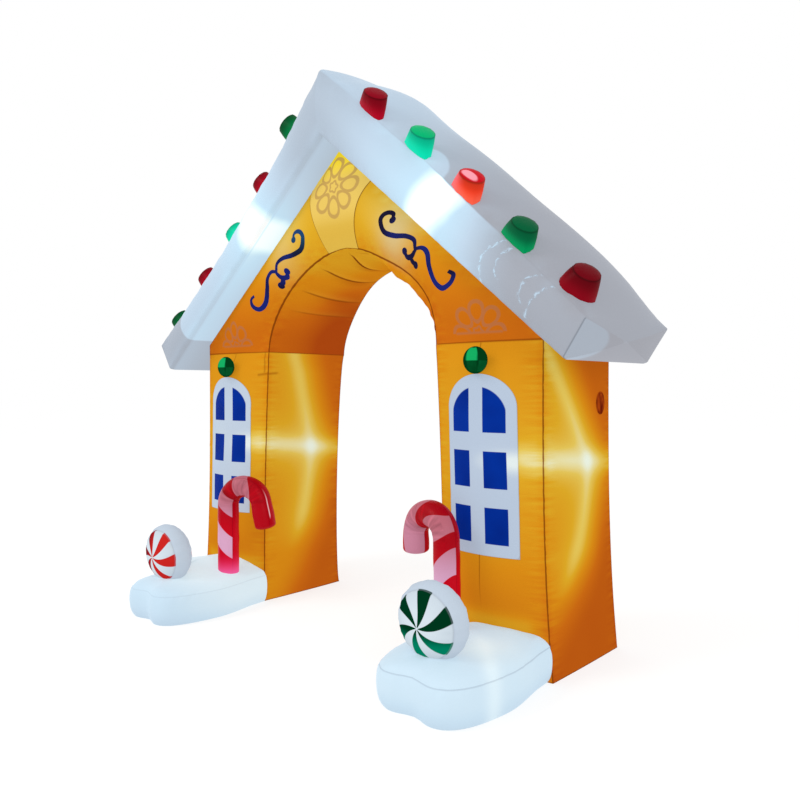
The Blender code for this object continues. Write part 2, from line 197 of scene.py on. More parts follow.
class Reading:                         # a number or a colour on its way through a material
    def __init__(self, paint, socket):
        self.paint, self.socket = paint, socket

    def sum(self, operation, *others):
        return self.paint.node("Math", {"operation": operation}, [self, *others])

    def after(self, operation, other):
        return self.paint.node("Math", {"operation": operation}, [other, self])

    def __add__(self, other):
        return self.sum("ADD", other)

    def __radd__(self, other):
        return self.after("ADD", other)

    def __sub__(self, other):
        return self.sum("SUBTRACT", other)

    def __rsub__(self, other):
        return self.after("SUBTRACT", other)

    def __mul__(self, other):
        return self.sum("MULTIPLY", other)

    def __rmul__(self, other):
        return self.after("MULTIPLY", other)

    def __truediv__(self, other):
        return self.sum("DIVIDE", other)

    def __mod__(self, other):
        return self.sum("FLOORED_MODULO", other)

    def __neg__(self):
        return self.sum("MULTIPLY", -1.0)

    def __abs__(self):
        return self.sum("ABSOLUTE")

    def __gt__(self, other):
        return self.sum("GREATER_THAN", other)

    def __lt__(self, other):
        return self.sum("LESS_THAN", other)

    def __or__(self, other):           # either mask
        return self.sum("MAXIMUM", other)

    def rise(self, low, high):         # a soft step from 0 at low to 1 at high
        settings = {"interpolation_type": "SMOOTHSTEP"}
        return self.paint.node("MapRange", settings, [self, low, high, 0.0, 1.0])

    def over(self, other):             # light laid over light, never past full
        return 1.0 - (1.0 - self) * (1.0 - other)

    def bell(self, width):             # 1 where it is 0, dying away to both sides
        near = self / width
        return (near * near * -1.0).sum("EXPONENT")

    def fall(self, low, high):         # and one from 1 at low to 0 at high
        return 1.0 - self.rise(low, high)


def distance(*parts):                  # how far away a place is, from its parts
    total = parts[0] * parts[0]
    for part in parts[1:]:
        total = total + part * part
    return total.sum("SQRT")


class Paint:
    def __init__(self, name, settings):
        self.material = bpy.data.materials.new(name)
        self.material.use_nodes = True
        self.tree = self.material.node_tree
        self.shader = self.tree.nodes["Principled BSDF"]
        for socket, value in settings.items():
            self.shader.inputs[socket].default_value = value
        self.where = self.node("TexCoord", out="Object")
        self.x = self.node("SeparateXYZ", values=[self.where], out=0)
        parts = self.x.socket.node
        self.y, self.z = Reading(self, parts.outputs[1]), Reading(self, parts.outputs[2])

    def node(self, kind, settings=None, values=None, out=0):
        made = self.tree.nodes.new("ShaderNode" + kind)
        for word, value in (settings or {}).items():
            if word == "stops":
                self.setStops(made.color_ramp, value)
            else:
                setattr(made, word, value)
        pairs = values.items() if isinstance(values, dict) else enumerate(values or [])
        for key, value in pairs:
            if isinstance(value, Reading):
                self.tree.links.new(value.socket, made.inputs[key])
            elif made.inputs[key].type == "VECTOR":
                made.inputs[key].default_value = value[:3]
            else:
                made.inputs[key].default_value = value
        return Reading(self, made.outputs[out])

    def setStops(self, ramp, stops):
        while len(ramp.elements) < len(stops):
            ramp.elements.new(1.0)
        for element, (place, colour) in zip(ramp.elements, stops):
            element.position, element.color = place, colour

    def mark(self, name):
        return self.node("Attribute", {"attribute_name": name}, out="Fac")

    def ramp(self, value, stops):
        return self.node("ValToRGB", {"stops": stops}, [value])

    def mix(self, share, a, b):
        return self.node("Mix", {"data_type": "RGBA"}, {0: share, 6: a, 7: b}, out=2)

    def dim(self, colour, share):      # a colour made darker or brighter
        return self.node("VectorMath", {"operation": "SCALE"}, {0: colour, "Scale": share})

    def stretch(self, x, y, z):        # the place, stretched for a grain
        return self.node("VectorMath", {"operation": "MULTIPLY"}, [self.where, (x, y, z)])

    def cloud(self, scale, detail=2.0, place=None):
        values = {"Vector": place or self.where, "Scale": scale, "Detail": detail}
        return self.node("TexNoise", values=values)

    def uneven(self, scale, detail, place=None):       # the same, about nought
        return self.cloud(scale, detail, place) - 0.5

    def set(self, socket, value):
        self.tree.links.new(value.socket, self.shader.inputs[socket])

    def relief(self, *layers):         # bumps laid over one another: (height, depth in metres)
        normal = None
        for height, depth in layers:
            values = {"Height": height, "Distance": depth, "Strength": 1.0}
            if normal:
                values["Normal"] = normal
            normal = self.node("Bump", values=values)
        self.set("Normal", normal)


cloth = {"grain": 620.0, "grainDepth": 0.00022, "creaseDepth": 0.0016, "crease": 26.0,
         "own": 0.36, "lit": 0.6, "round": (1.0, 1.0, 1.0)}


def clothRelief(paint, along, near, extra=()):
    # fine coated weave, with small creases that gather where the cloth is sewn
    weave = paint.cloud(cloth["grain"], 1.0)
    creases = abs(paint.uneven(cloth["crease"], 3.0, paint.stretch(*along))) * -2.0 * near
    paint.relief((creases, cloth["creaseDepth"]), (weave, cloth["grainDepth"]), *extra)


def finished(paint, colour, along, near, own=cloth["own"], lit=cloth["lit"]):
    # cloth lit from inside: part of its colour is its own, part is the light through it
    paint.set("Base Color", paint.dim(colour, own))
    paint.set("Emission Color", colour)
    paint.shader.inputs["Emission Strength"].default_value = lit
    clothRelief(paint, along, near)
    return paint.material


def sewnCreases(paint, least=0.25, reach=0.16):        # creases gather by the panels' seams
    return least + (1.0 - least) * paint.mark("edge").fall(0.02, reach)


def litFolds(paint, scale, reach, *stretch):   # small folds by the corners catch the light
    fold = paint.uneven(scale, 3.0, paint.stretch(*stretch))
    return fold * paint.mark("edge").fall(0.0, reach)


# the wall: two pillars and a gable over them

wall = {
    "front": 0.008, "depth": 0.648, "seamHeight": 1.548, "seamGap": 0.0003,
    "doorHalf": 0.657, "doorSpread": 0.05, "archRise": 0.56, "archRound": 1.7,
    "half": 1.275, "flare": 0.055, "apex": 2.685, "eaveHalf": 1.468, "eaveHeight": 1.45,
    "frontCrown": 0.08, "backCrown": 0.06, "sideCrown": 0.03, "liningCrown": 0.03,
    "seamShare": 0.35, "floorShare": 0.12, "crownBottom": 0.42, "crownTop": 0.13,
    "gableTop": 0.3, "gableRun": 0.9, "liningRun": 0.6, "drawIn": 0.03,
    "puckerDepth": 0.0042, "puckerLength": 0.05, "puckerReach": 0.055,
    "hemShare": 0.8, "hemReach": 0.045,
    "slack": 0.003, "slackReach": 0.06, "slackLengths": (0.5, 0.45), "slackSlant": 0.4,
    "pillarSeed": 20, "gableSeeds": (61, 71, 81),
}
wallMesh = {"pillarUp": (120, 0.6), "front": 30, "side": 26, "corner": 10, "arch": 70,
            "gableFront": 34, "gableSide": 12, "gableBack": 30, "lining": 34}
haunch = {                             # where the arch's lining rolls over its front seam
    "fadeIn": 0.4, "end": 1.1, "fadeOut": 0.65, "out": 0.036, "deep": 0.05, "in": 0.012,
    "full": 0.036, "fullAt": 0.84, "fullWide": 0.32,
    "back": 0.03, "backAt": 2.25, "backWide": 0.4, "backRun": 0.45,
}
folds = {                              # seams across the lining: start, rise and strength
    "lines": ((1.6, 0.32, 1.0), (2.05, 0.16, 0.85), (2.43, 0.095, 0.6), (2.69, 0.03, 0.35)),
    "depth": 0.007, "from": 0.05, "run": 0.5, "fade": 0.12, "arm": 0.55, "wide": 0.014,
    "full": 0.01, "fullTurns": 17.0, "fullSlant": 3.0, "fullTop": 0.5, "fullEdge": 0.15,
    "most": 0.008,
}
wallBack = wall["front"] + wall["depth"]
seamHeight = wall["seamHeight"]
soffitSlope = (wall["apex"] - wall["eaveHeight"]) / wall["eaveHalf"]


def innerEdge(z):
    return wall["doorHalf"] + wall["doorSpread"] * (1.0 - (z / seamHeight) ** 2)


def outerEdge(z):
    return wall["half"] + wall["flare"] * np.maximum(1.0 - z / seamHeight, 0.0) ** 3


def innerBackEdge(z):                  # the lining's far edge is drawn away from the doorway
    return innerEdge(z) + wall["drawIn"] * np.sqrt(swell(np.clip(z / seamHeight, 0.0, 1.0)))


def pillarShare(z):
    foot = blend(wall["floorShare"], 1.0, smooth(z / wall["crownBottom"]))
    head = blend(wall["seamShare"], 1.0, smooth((seamHeight - z) / wall["crownTop"]))
    return foot * head


def pillarSeed(side, number):
    return 10 * side + wall["pillarSeed"] + 5 * number


def panelLift(away, hem, run, across, seed):
    # puckers along the upright seams and along the level ones, and a slack unevenness
    length, depth = wall["puckerLength"], wall["puckerDepth"]
    lift = puckers(away, run, seed, length, depth, wall["puckerReach"])
    depth = depth * wall["hemShare"]
    lift = lift + puckers(hem, across, seed + 1, length, depth, wall["hemReach"])
    first, second = wall["slackLengths"]
    slack = ripples(run + across * wall["slackSlant"], seed + 2, first)
    slack = slack * ripples(across, seed + 3, second)
    inside = (1.0 - fade(away, wall["slackReach"])) * (1.0 - fade(hem, wall["slackReach"]))
    return lift + wall["slack"] * slack * inside


def pillarFront(x, z, side):           # y of a pillar's front panel
    near, far = innerEdge(z), outerEdge(z)
    place = np.clip((np.abs(x) - near) / (far - near), 0.0, 1.0)
    away = toSeam(place) * (far - near)
    hem = np.minimum(z, seamHeight - z)
    lift = panelLift(away, hem, z, np.abs(x), pillarSeed(side, 0))
    return wall["front"] - wall["frontCrown"] * pillarShare(z) * swell(place) - lift


def pillarOuter(y, z, side):           # x of a pillar's outer side panel, without its sign
    place = np.clip((y - wall["front"]) / wall["depth"], 0.0, 1.0)
    far, hem = outerEdge(z), np.minimum(z, seamHeight - z)
    lift = panelLift(toSeam(place) * wall["depth"], hem, z, far + y - wall["front"],
                     pillarSeed(side, 1))
    return far + wall["sideCrown"] * pillarShare(z) * swell(place) + lift


def makePillar(label, side):
    z = (seamHeight * nearSeams(*wallMesh["pillarUp"]))[:, None]
    near, far, share = innerEdge(z), outerEdge(z), pillarShare(z)
    hem = np.minimum(z, seamHeight - z)
    panels = Panels()

    def panel(count, corners, crown, push, number):
        place = nearSeams(count)[None, :-1]
        (x0, y0), (x1, y1) = corners
        x, y = blend(x0, x1, place), blend(y0, y1, place)
        away = toSeam(place) * (np.abs(x1 - x0) + np.abs(y1 - y0))
        lift = crown * share * swell(place)
        lift = lift + panelLift(away, hem, z, x + y - wall["front"], pillarSeed(side, number))
        panels.add(side * (x + push[0] * lift), y + push[1] * lift, z, away, number)

    front, back, nearBack = wall["front"], wallBack, innerBackEdge(z)
    wide, deep = wallMesh["front"], wallMesh["side"]
    panel(wide, ((near, front), (far, front)), wall["frontCrown"], (0.0, -1.0), 0)
    panel(deep, ((far, front), (far, back)), wall["sideCrown"], (1.0, 0.0), 1)
    panel(wide, ((far, back), (nearBack, back)), wall["backCrown"], (0.0, 1.0), 2)
    panel(deep, ((nearBack, back), (near, front)), wall["liningCrown"], (-1.0, 0.0), 3)
    rows, edge, number = panels.joined()
    marks = {"edge": edge, "hem": hem, **panelMarks(number, ("outer", "rear", "lining"))}
    return skin(nameFor("pillar", label, "Wall"), rows, marks)


def archRadius(angle):
    wide = (np.abs(np.cos(angle)) / wall["doorHalf"]) ** wall["archRound"]
    high = (np.abs(np.sin(angle)) / wall["archRise"]) ** wall["archRound"]
    return (wide + high) ** (-1.0 / wall["archRound"])


def archRoll(angle):                   # the right haunch's seam sits back from the doorway
    return smooth(angle / haunch["fadeIn"]) * smooth((haunch["end"] - angle) / haunch["fadeOut"])


def archSeam(angle):
    return archRadius(angle) + haunch["out"] * archRoll(angle)


def archLining(angle, y):              # and the cloth rolls over it, full at the shoulder
    radius, depth = archRadius(angle), y - wall["front"]
    full = haunch["in"] * archRoll(angle)
    full = full + haunch["full"] * hill(angle - haunch["fullAt"], haunch["fullWide"])
    back = radius + haunch["back"] * hill(angle - haunch["backAt"], haunch["backWide"])
    turned = np.sqrt(1.0 - (1.0 - np.clip(depth / haunch["deep"], 0.0, 1.0)) ** 2)
    front = blend(archSeam(angle), radius - full, turned)
    return blend(front, back, smooth((depth - haunch["deep"]) / haunch["backRun"]))


def soffitHeight(x):
    return blend(wall["apex"], wall["eaveHeight"], np.abs(x) / wall["eaveHalf"])


def wallRadius(angle):
    c, s = np.abs(np.cos(angle)), np.sin(angle)
    apex = wall["apex"] - 2.0 * wall["seamGap"] - seamHeight
    return np.minimum(apex / (s + soffitSlope * c), wall["half"] / np.maximum(c, 1e-6))


def gableCorner():
    rise = soffitHeight(wall["half"]) - 2.0 * wall["seamGap"] - seamHeight
    return math.atan2(rise, wall["half"])


def gableShare(angle):
    return blend(wall["seamShare"], 1.0, smooth(np.sin(angle) / wall["gableTop"]))


def gableFront(x, z):                  # y of the gable's front panel
    up = np.maximum(z - seamHeight, 0.0)
    angle = np.arctan2(up, x)
    near, far = archSeam(angle), wallRadius(angle)
    place = np.clip((np.hypot(x, z - seamHeight) - near) / (far - near), 0.0, 1.0)
    away = toSeam(place) * (far - near)
    seed = wall["gableSeeds"][0]
    lift = panelLift(away, up, angle * wall["gableRun"], near + away, seed)
    return wall["front"] - wall["frontCrown"] * gableShare(angle) * swell(place) - lift


def foldGroove(angle, y):
    # the lining is drawn in along a few seams that start behind its front edge
    depth = y - wall["front"] - folds["from"]
    share = 1.0 - (1.0 - np.clip(depth / folds["run"], 0.0, 1.0)) ** 2
    behind = smooth(depth / folds["fade"]) * smooth((wallBack - y) / folds["fade"])
    turn, groove, beside = np.maximum(angle, math.pi - angle), 0.0, []
    for start, rise, strength in folds["lines"]:
        away = (turn - start - rise * share) * folds["arm"]
        beside.append(away)
        groove = groove + strength * hill(away, folds["wide"])
    return groove * behind * folds["depth"], beside


def makeGable():
    corner, (_, backSeed, liningSeed) = gableCorner(), wall["gableSeeds"]
    half = np.concatenate([corner * even(wallMesh["corner"]),
                           blend(corner, math.pi / 2, even(wallMesh["arch"]))[1:]])
    angles = np.concatenate([half, math.pi - half[-2::-1]])[:, None]
    near, far, share = archSeam(angles), wallRadius(angles), gableShare(angles)
    c, s = np.cos(angles), np.sin(angles)
    low = np.minimum(angles, math.pi - angles)
    hem = np.maximum(low, 0.0) * near
    panels = Panels()

    def add(r, y, away, number):
        panels.add(r * c, y, seamHeight + wall["seamGap"] + r * s, away, number)

    place = nearSeams(wallMesh["gableFront"])[None, :-1]
    r = blend(near, far, place)
    add(r, gableFront(r * c, seamHeight + r * s), toSeam(place) * (far - near), 0)

    place = even(wallMesh["gableSide"])[None, :-1]
    crown = wall["sideCrown"] * share * np.maximum(1.0 - low / corner, 0.0)
    add(far + crown * swell(place), blend(wall["front"], wallBack, place),
        toSeam(place) * wall["depth"], 1)

    place = nearSeams(wallMesh["gableBack"])[None, :-1]
    r = blend(far, archLining(angles, wallBack), place)
    away = toSeam(place) * (far - near)
    lift = panelLift(away, hem, angles * wall["gableRun"], r, backSeed)
    add(r, wallBack + wall["backCrown"] * share * swell(place) + lift, away, 2)

    place = nearSeams(wallMesh["lining"])[None, :-1]
    y = blend(wallBack, wall["front"], place)
    inner = archLining(angles, y)
    away = toSeam(place) * wall["depth"]
    away = np.where(place > 0.5, np.hypot(away, inner - near), away)
    groove, beside = foldGroove(angles, y)
    full = folds["full"] * np.sin(angles * folds["fullTurns"] + y * folds["fullSlant"])
    full = full * smooth(s / folds["fullTop"]) * smooth(away / folds["fullEdge"])
    lift = panelLift(away, hem, angles * wall["liningRun"], y, liningSeed)
    bulge = wall["liningCrown"] * share * swell(place) + lift + full - groove
    add(inner - np.maximum(bulge, -folds["most"]), y, away, 3)

    rows, edge, number = panels.joined()
    marks = {"edge": edge, "hem": hem, **panelMarks(number, ("outer", "rear", "lining"))}
    for line, away in enumerate(beside):
        fold = np.ones(edge.shape)
        fold[:, -away.shape[1]:] = away
        marks[f"fold{line}"] = fold
    return skin("gableWall", rows, marks)


# the gingerbread cloth's colour from dim to brightly lit: the levels fed into it are painted lamp
# light, up to the white of a hot spot
gingerbreadStops = [
    (0.0, shade(172, 72, 17)), (0.25, shade(199, 104, 19)), (0.45, shade(213, 137, 22)),
    (0.62, shade(217, 166, 38)), (0.78, shade(224, 194, 88)), (0.9, shade(228, 218, 160)),
    (1.0, shade(232, 243, 232)),
]
gingerbread = {"Roughness": 0.5, "Specular IOR Level": 0.0}
seamBrown = shade(124, 58, 10)
lamp = {                               # each pillar's lamp, seen through its cloth
    "band": 0.058, "spot": 0.05, "streak": 0.056, "front": 0.47, "behind": 0.17, "before": 0.5,
    "bandLight": 0.66, "haloLight": 0.22, "spotLight": 0.75, "lineLight": 0.38, "bowLight": 0.28,
    "left": {"height": 0.988, "tilt": 0.1, "floor": 0.8,
             "outer": (0.36, 0.6, 0.6), "inner": (0.37, 0.28, 0.34)},
    "right": {"height": 1.006, "tilt": 0.08, "floor": 0.45,
              "outer": (0.37, 0.68, 0.66), "inner": (0.36, 0.5, 0.5)},
}
seamInFront = {"x": 0.982, "drift": 0.03, "foot": (0.26, 0.5), "sill": 0.7, "head": (1.44, 1.46)}
insideCord = {"x": -0.687, "top": (1.41, 1.43), "height": 1.414, "thin": 0.005, "bar": 0.008,
              "shown": 0.42}


def seamLine(paint, mark, width=0.0055):
    return paint.mark(mark).fall(width * 0.45, width)


def cordShadow(paint, face, lining):   # the inside cord and its bar show through by the corner
    cord = (paint.x - insideCord["x"]).bell(insideCord["thin"])
    cord = cord * paint.z.rise(*insideCord["top"]) * face
    slant = 0.14 * (paint.x + 0.69) * face + 0.1 * paint.y * lining
    bar = (paint.z - insideCord["height"] - slant).bell(insideCord["bar"])
    bar = bar * (1.0 - face * (paint.x + 0.735).fall(0.0, 0.01))
    bar = bar * paint.y.fall(0.06, 0.09) * (face + lining)
    return (cord | bar) * insideCord["shown"]


def pillarPaint(label, side):
    paint = Paint(nameFor("gingerbreadPillar", label), gingerbread)
    outer, rear, lining = paint.mark("outer"), paint.mark("rear"), paint.mark("lining")
    face, sides = 1.0 - outer - rear - lining, outer + lining
    here = lamp[label]
    up = paint.z - here["height"] + paint.y * here["tilt"]
    # painted lamp light on the front panel: brighter level with the lamp, darker near the floor,
    # and a brighter band just above the snow base
    plain = lamp["front"] + 0.07 * up.bell(0.4) - 0.1 * paint.z.fall(0.28, 0.66)
    overBase = (paint.z - 0.235).bell(0.05) * (paint.x * side).fall(1.2, 1.3)
    plain = plain + 0.16 * overBase * face

    # on the side panels the light hangs in front of a bowed line, and dies away behind it
    def bowed(place, above, below):
        falling = up.sum("MINIMUM", 0.0)
        return paint.y - place + up.sum("MAXIMUM", 0.0) * above + falling * falling * below

    line = bowed(*here["outer"]) * outer + bowed(*here["inner"]) * lining
    height = here["floor"] + (1.0 - here["floor"]) * paint.z.rise(0.05, 0.62)
    rest = lamp["behind"] - 0.06 * paint.z.fall(0.2, 0.7) + 0.03 * lining
    hung = rest + (lamp["before"] - rest) * line.fall(-0.03, 0.36) * height
    hung = hung + 0.1 * up.bell(0.24)
    low = (-up).fall(0.4, 0.7)
    hung = hung.over(lamp["lineLight"] * line.bell(lamp["streak"]) * low)
    hung = hung.over(lamp["bowLight"] * line.bell(2.6 * lamp["streak"]) * low)
    level = plain * (1.0 - sides) + hung * sides
    # a level band through the lamp's spot, on round the near corner and over the front panel
    middle = paint.y - here["outer"][0] * outer - here["inner"][0] * lining
    corner = 1.29 - abs(paint.x) if side > 0 else abs(paint.x) - 0.655
    onFront = face * corner.fall(0.07, 0.26) + rear * 0.25
    reach = sides * (1.0 - 0.35 * middle.rise(0.02, 0.24)) + onFront
    level = level.over(lamp["bandLight"] * up.bell(lamp["band"]) * reach)
    level = level.over(lamp["haloLight"] * up.bell(2.1 * lamp["band"]) * reach)
    spot = distance(middle, up).bell(lamp["spot"]) * sides
    level = level.over(lamp["spotLight"] * spot)
    level = level + 0.34 * litFolds(paint, 9.0, 0.13, 0.5, 0.5, 5.0)
    level = level + 0.05 * paint.uneven(3.0, 1.0) - 0.05 * paint.mark("edge").fall(0.0, 0.04)
    tone = paint.ramp(level, gingerbreadStops)
    # a seam down the middle of the front panel, above the ball and below the window
    middleSeam = seamInFront["x"] - seamInFront["drift"] * paint.z.rise(0.5, 1.5)
    middleSeam = abs(abs(paint.x) - middleSeam).fall(0.0016, 0.0048)
    below = paint.z.rise(*seamInFront["foot"]) * (paint.z < seamInFront["sill"])
    middleSeam = middleSeam * face * (paint.z.rise(*seamInFront["head"]) | below)
    hem = seamLine(paint, "hem") * (0.75 - 0.5 * paint.z.rise(0.2, 1.0))
    seams = (seamLine(paint, "edge") * 0.85) | hem | (middleSeam * 0.5)
    if side < 0:
        seams = seams | cordShadow(paint, face, lining)
    tone = paint.mix(seams, tone, seamBrown)
    return finished(paint, tone, (1.0, 1.0, 4.5), sewnCreases(paint))


flower = {                             # shares of the flower's size
    "petals": 8, "middle": 0.66, "long": 0.32, "wide": 0.235, "taper": 0.24,
    "heart": 0.17, "heartWave": 0.16, "heartWide": 0.24, "worn": 0.08, "line": (0.17, 0.3),
    "half": {"x": 0.94, "z": 1.594, "size": 0.15}, "whole": {"z": 2.435, "size": 0.165},
}


def flowerPrint(paint, u, v, size):    # outlines of a round flower
    angle = paint.node("Math", {"operation": "ARCTAN2"}, [v, u])
    halfPetal = math.pi / flower["petals"]
    turn = (angle + halfPetal) % (2.0 * halfPetal) - halfPetal
    out = distance(u, v)
    along = (out * turn.sum("COSINE") - size * flower["middle"]) / (size * flower["long"])
    across = (out * turn.sum("SINE")) / (size * flower["wide"]) / (along * flower["taper"] + 1.0)
    petal = abs(distance(along, across) - 1.0)
    wave = 1.0 + flower["heartWave"] * (angle * 5.0).sum("COSINE")
    heart = abs(out - size * flower["heart"] * wave) / (size * flower["heartWide"])
    line = petal.sum("MINIMUM", heart * 1.2) + paint.cloud(60.0, 2.0) * flower["worn"]
    return line.fall(*flower["line"])


def gablePaint():
    paint = Paint("gingerbreadGable", gingerbread)
    outer, rear, lining = paint.mark("outer"), paint.mark("rear"), paint.mark("lining")
    face, out = 1.0 - outer - rear - lining, abs(paint.x)
    # painted lamp light: the front brighter higher up and near the roof's lamps; the lining
    # lighter high up and near its front, darker further in
    level = 0.26 + 0.36 * paint.z.rise(1.6, 2.35)
    level = level + 0.12 * ((out - 0.42).bell(0.2) * (paint.z - 2.2).bell(0.2))
    inner = 0.03 + 0.24 * paint.z.rise(1.62, 1.95) + 0.30 * paint.z.rise(1.85, 2.08)
    inner = inner - 0.14 * (paint.y - 0.2).rise(0.0, 0.4)
    inner = inner + 0.16 * paint.y.fall(0.1, 0.5) * paint.z.fall(1.85, 2.0)
    level = level * (1.0 - lining) + inner * lining
    level = level + 0.3 * litFolds(paint, 9.0, 0.13, 1.6, 1.0, 3.0)
    level = level + 0.06 * paint.uneven(3.0, 1.0)
    tone = paint.ramp(level, gingerbreadStops)
    # half a flower, standing on a short line
    half = flower["half"]
    aside, up = out - half["x"], paint.z - half["z"]
    printed = flowerPrint(paint, aside, up, half["size"]) * (up > 0.0) * face
    printed = printed | (up.bell(0.006) * abs(aside).fall(0.13, 0.14) * face)
    # the roof's lamps pale the cloth beside them
    lamplight = (out - 0.44).bell(0.11) * (paint.z - 2.12).bell(0.13) * face
    tone = paint.mix(lamplight * (0.3 + 0.4 * (paint.x > 0.0)), tone, shade(208, 192, 148))
    tone = paint.mix(printed * 0.5, tone, shade(166, 112, 84))
    seams = (seamLine(paint, "edge", 0.0075) * 0.9) | (seamLine(paint, "hem") * 0.6)
    deep = paint.y.rise(0.05, 0.2) * (1.0 - 0.6 * paint.y.rise(0.42, 0.62)) * lining
    for number, (_, _, strength) in enumerate(folds["lines"]):
        fold = paint.mark(f"fold{number}")
        shown = deep * strength
        # painted shade below each fold and a painted highlight above it, beside its dark seam line
        below = (fold > 0.0) * fold.fall(0.0, 0.06) * paint.y.rise(0.1, 0.45)
        above = (fold < 0.0) * (-fold).fall(0.0, 0.05)
        tone = paint.mix(below * shown * 0.4, tone, shade(158, 62, 12))
        tone = paint.mix(above * shown * 0.35, tone, shade(232, 170, 50))
        seams = seams | (abs(fold).fall(0.003, 0.0075) * shown * 0.95)
    tone = paint.mix(seams, tone, seamBrown)
    return finished(paint, tone, (1.6, 1.0, 3.0), sewnCreases(paint))


for side, label in halves:
    dress(makePillar(label, side), pillarPaint(label, side),
          "pillar_" + label)
dress(makeGable(), gablePaint(), "gable")
print("walls made")


# the snow roof

roof = {
    "half": 1.578, "tip": 1.622, "height": 3.05, "overhang": 0.178, "backLap": 0.02,
    "draw": 0.06, "ridge": 0.2, "run": 1.92, "bandWide": 0.36, "underWide": 0.8,
    "crownRidge": 0.045, "crownRise": 0.16, "crownSlope": 0.11, "crownEave": 0.15, "crownEnd": 14,
    "fasciaCrown": 0.04, "eaveCrown": 0.03, "endWide": 0.18, "endRound": 2.2,
    "endInsets": (0.97, 0.9, 0.8, 0.65, 0.5, 0.35, 0.2, 0.08),
    "puckerDepth": 0.005, "puckerLength": 0.075, "puckerReach": 0.07, "topReach": 0.08,
    "puckerEnd": 0.04, "bandSlack": 0.003, "topSlack": 0.004,
    "wave": 0.007, "waveLength": 0.55, "waveEnd": 0.08, "waveSeed": 5,
    "frontSeed": 3, "topSeed": 7, "backSeed": 13, "band": 16, "top": (40, 0.6), "under": 22,
    "rings": ((0.0, 0.2, 12), (0.2, 0.9, 46), (0.9, 1.0, 12)),
    "wrinkles": ((1.2, 1.85, 0.143), (1.25, 1.86, 0.106), (1.35, 1.735, 0.082), (1.45, 1.6, 0.16)),
}
roofFront, roofBack = wall["front"] - roof["overhang"], wallBack + roof["backLap"]


def roofCrown(along):
    slope = blend(roof["crownSlope"], roof["crownEave"], along)
    full = blend(roof["crownRidge"], slope, smooth(along / roof["crownRise"]))
    return full * (1.0 - along ** roof["crownEnd"])


def roofSeams(along):
    drawn = roof["draw"] * swell(along)
    return roofFront + drawn, roofBack - drawn


def roofWave(along):                   # the upper seams are never quite straight
    wave = roof["wave"] * ripples(along * roof["run"], roof["waveSeed"], roof["waveLength"])
    return wave * smooth((1.0 - along) / roof["waveEnd"])


def upSlope():
    run = Vector((roof["half"], 0.0, roof["tip"] - roof["height"])).normalized()
    return np.array((-run.z, 0.0, run.x))


def roofTop(along, place):             # points of the right slope's top
    front, back = roofSeams(along)
    share, (upX, _, upZ) = smooth(along / roof["ridge"]), upSlope()
    up = np.stack([upX * share, 0.0 * share, blend(1.0, upZ, share)], axis=-1)
    up = up / np.linalg.norm(up, axis=-1, keepdims=True)
    x, y, z = np.broadcast_arrays(roof["half"] * along, blend(front, back, place),
                                  blend(roof["height"], roof["tip"], along))
    edge = np.stack([x, y, z], axis=-1)
    return edge + up * (roofCrown(along) * swell(place) + roofWave(along))[..., None]


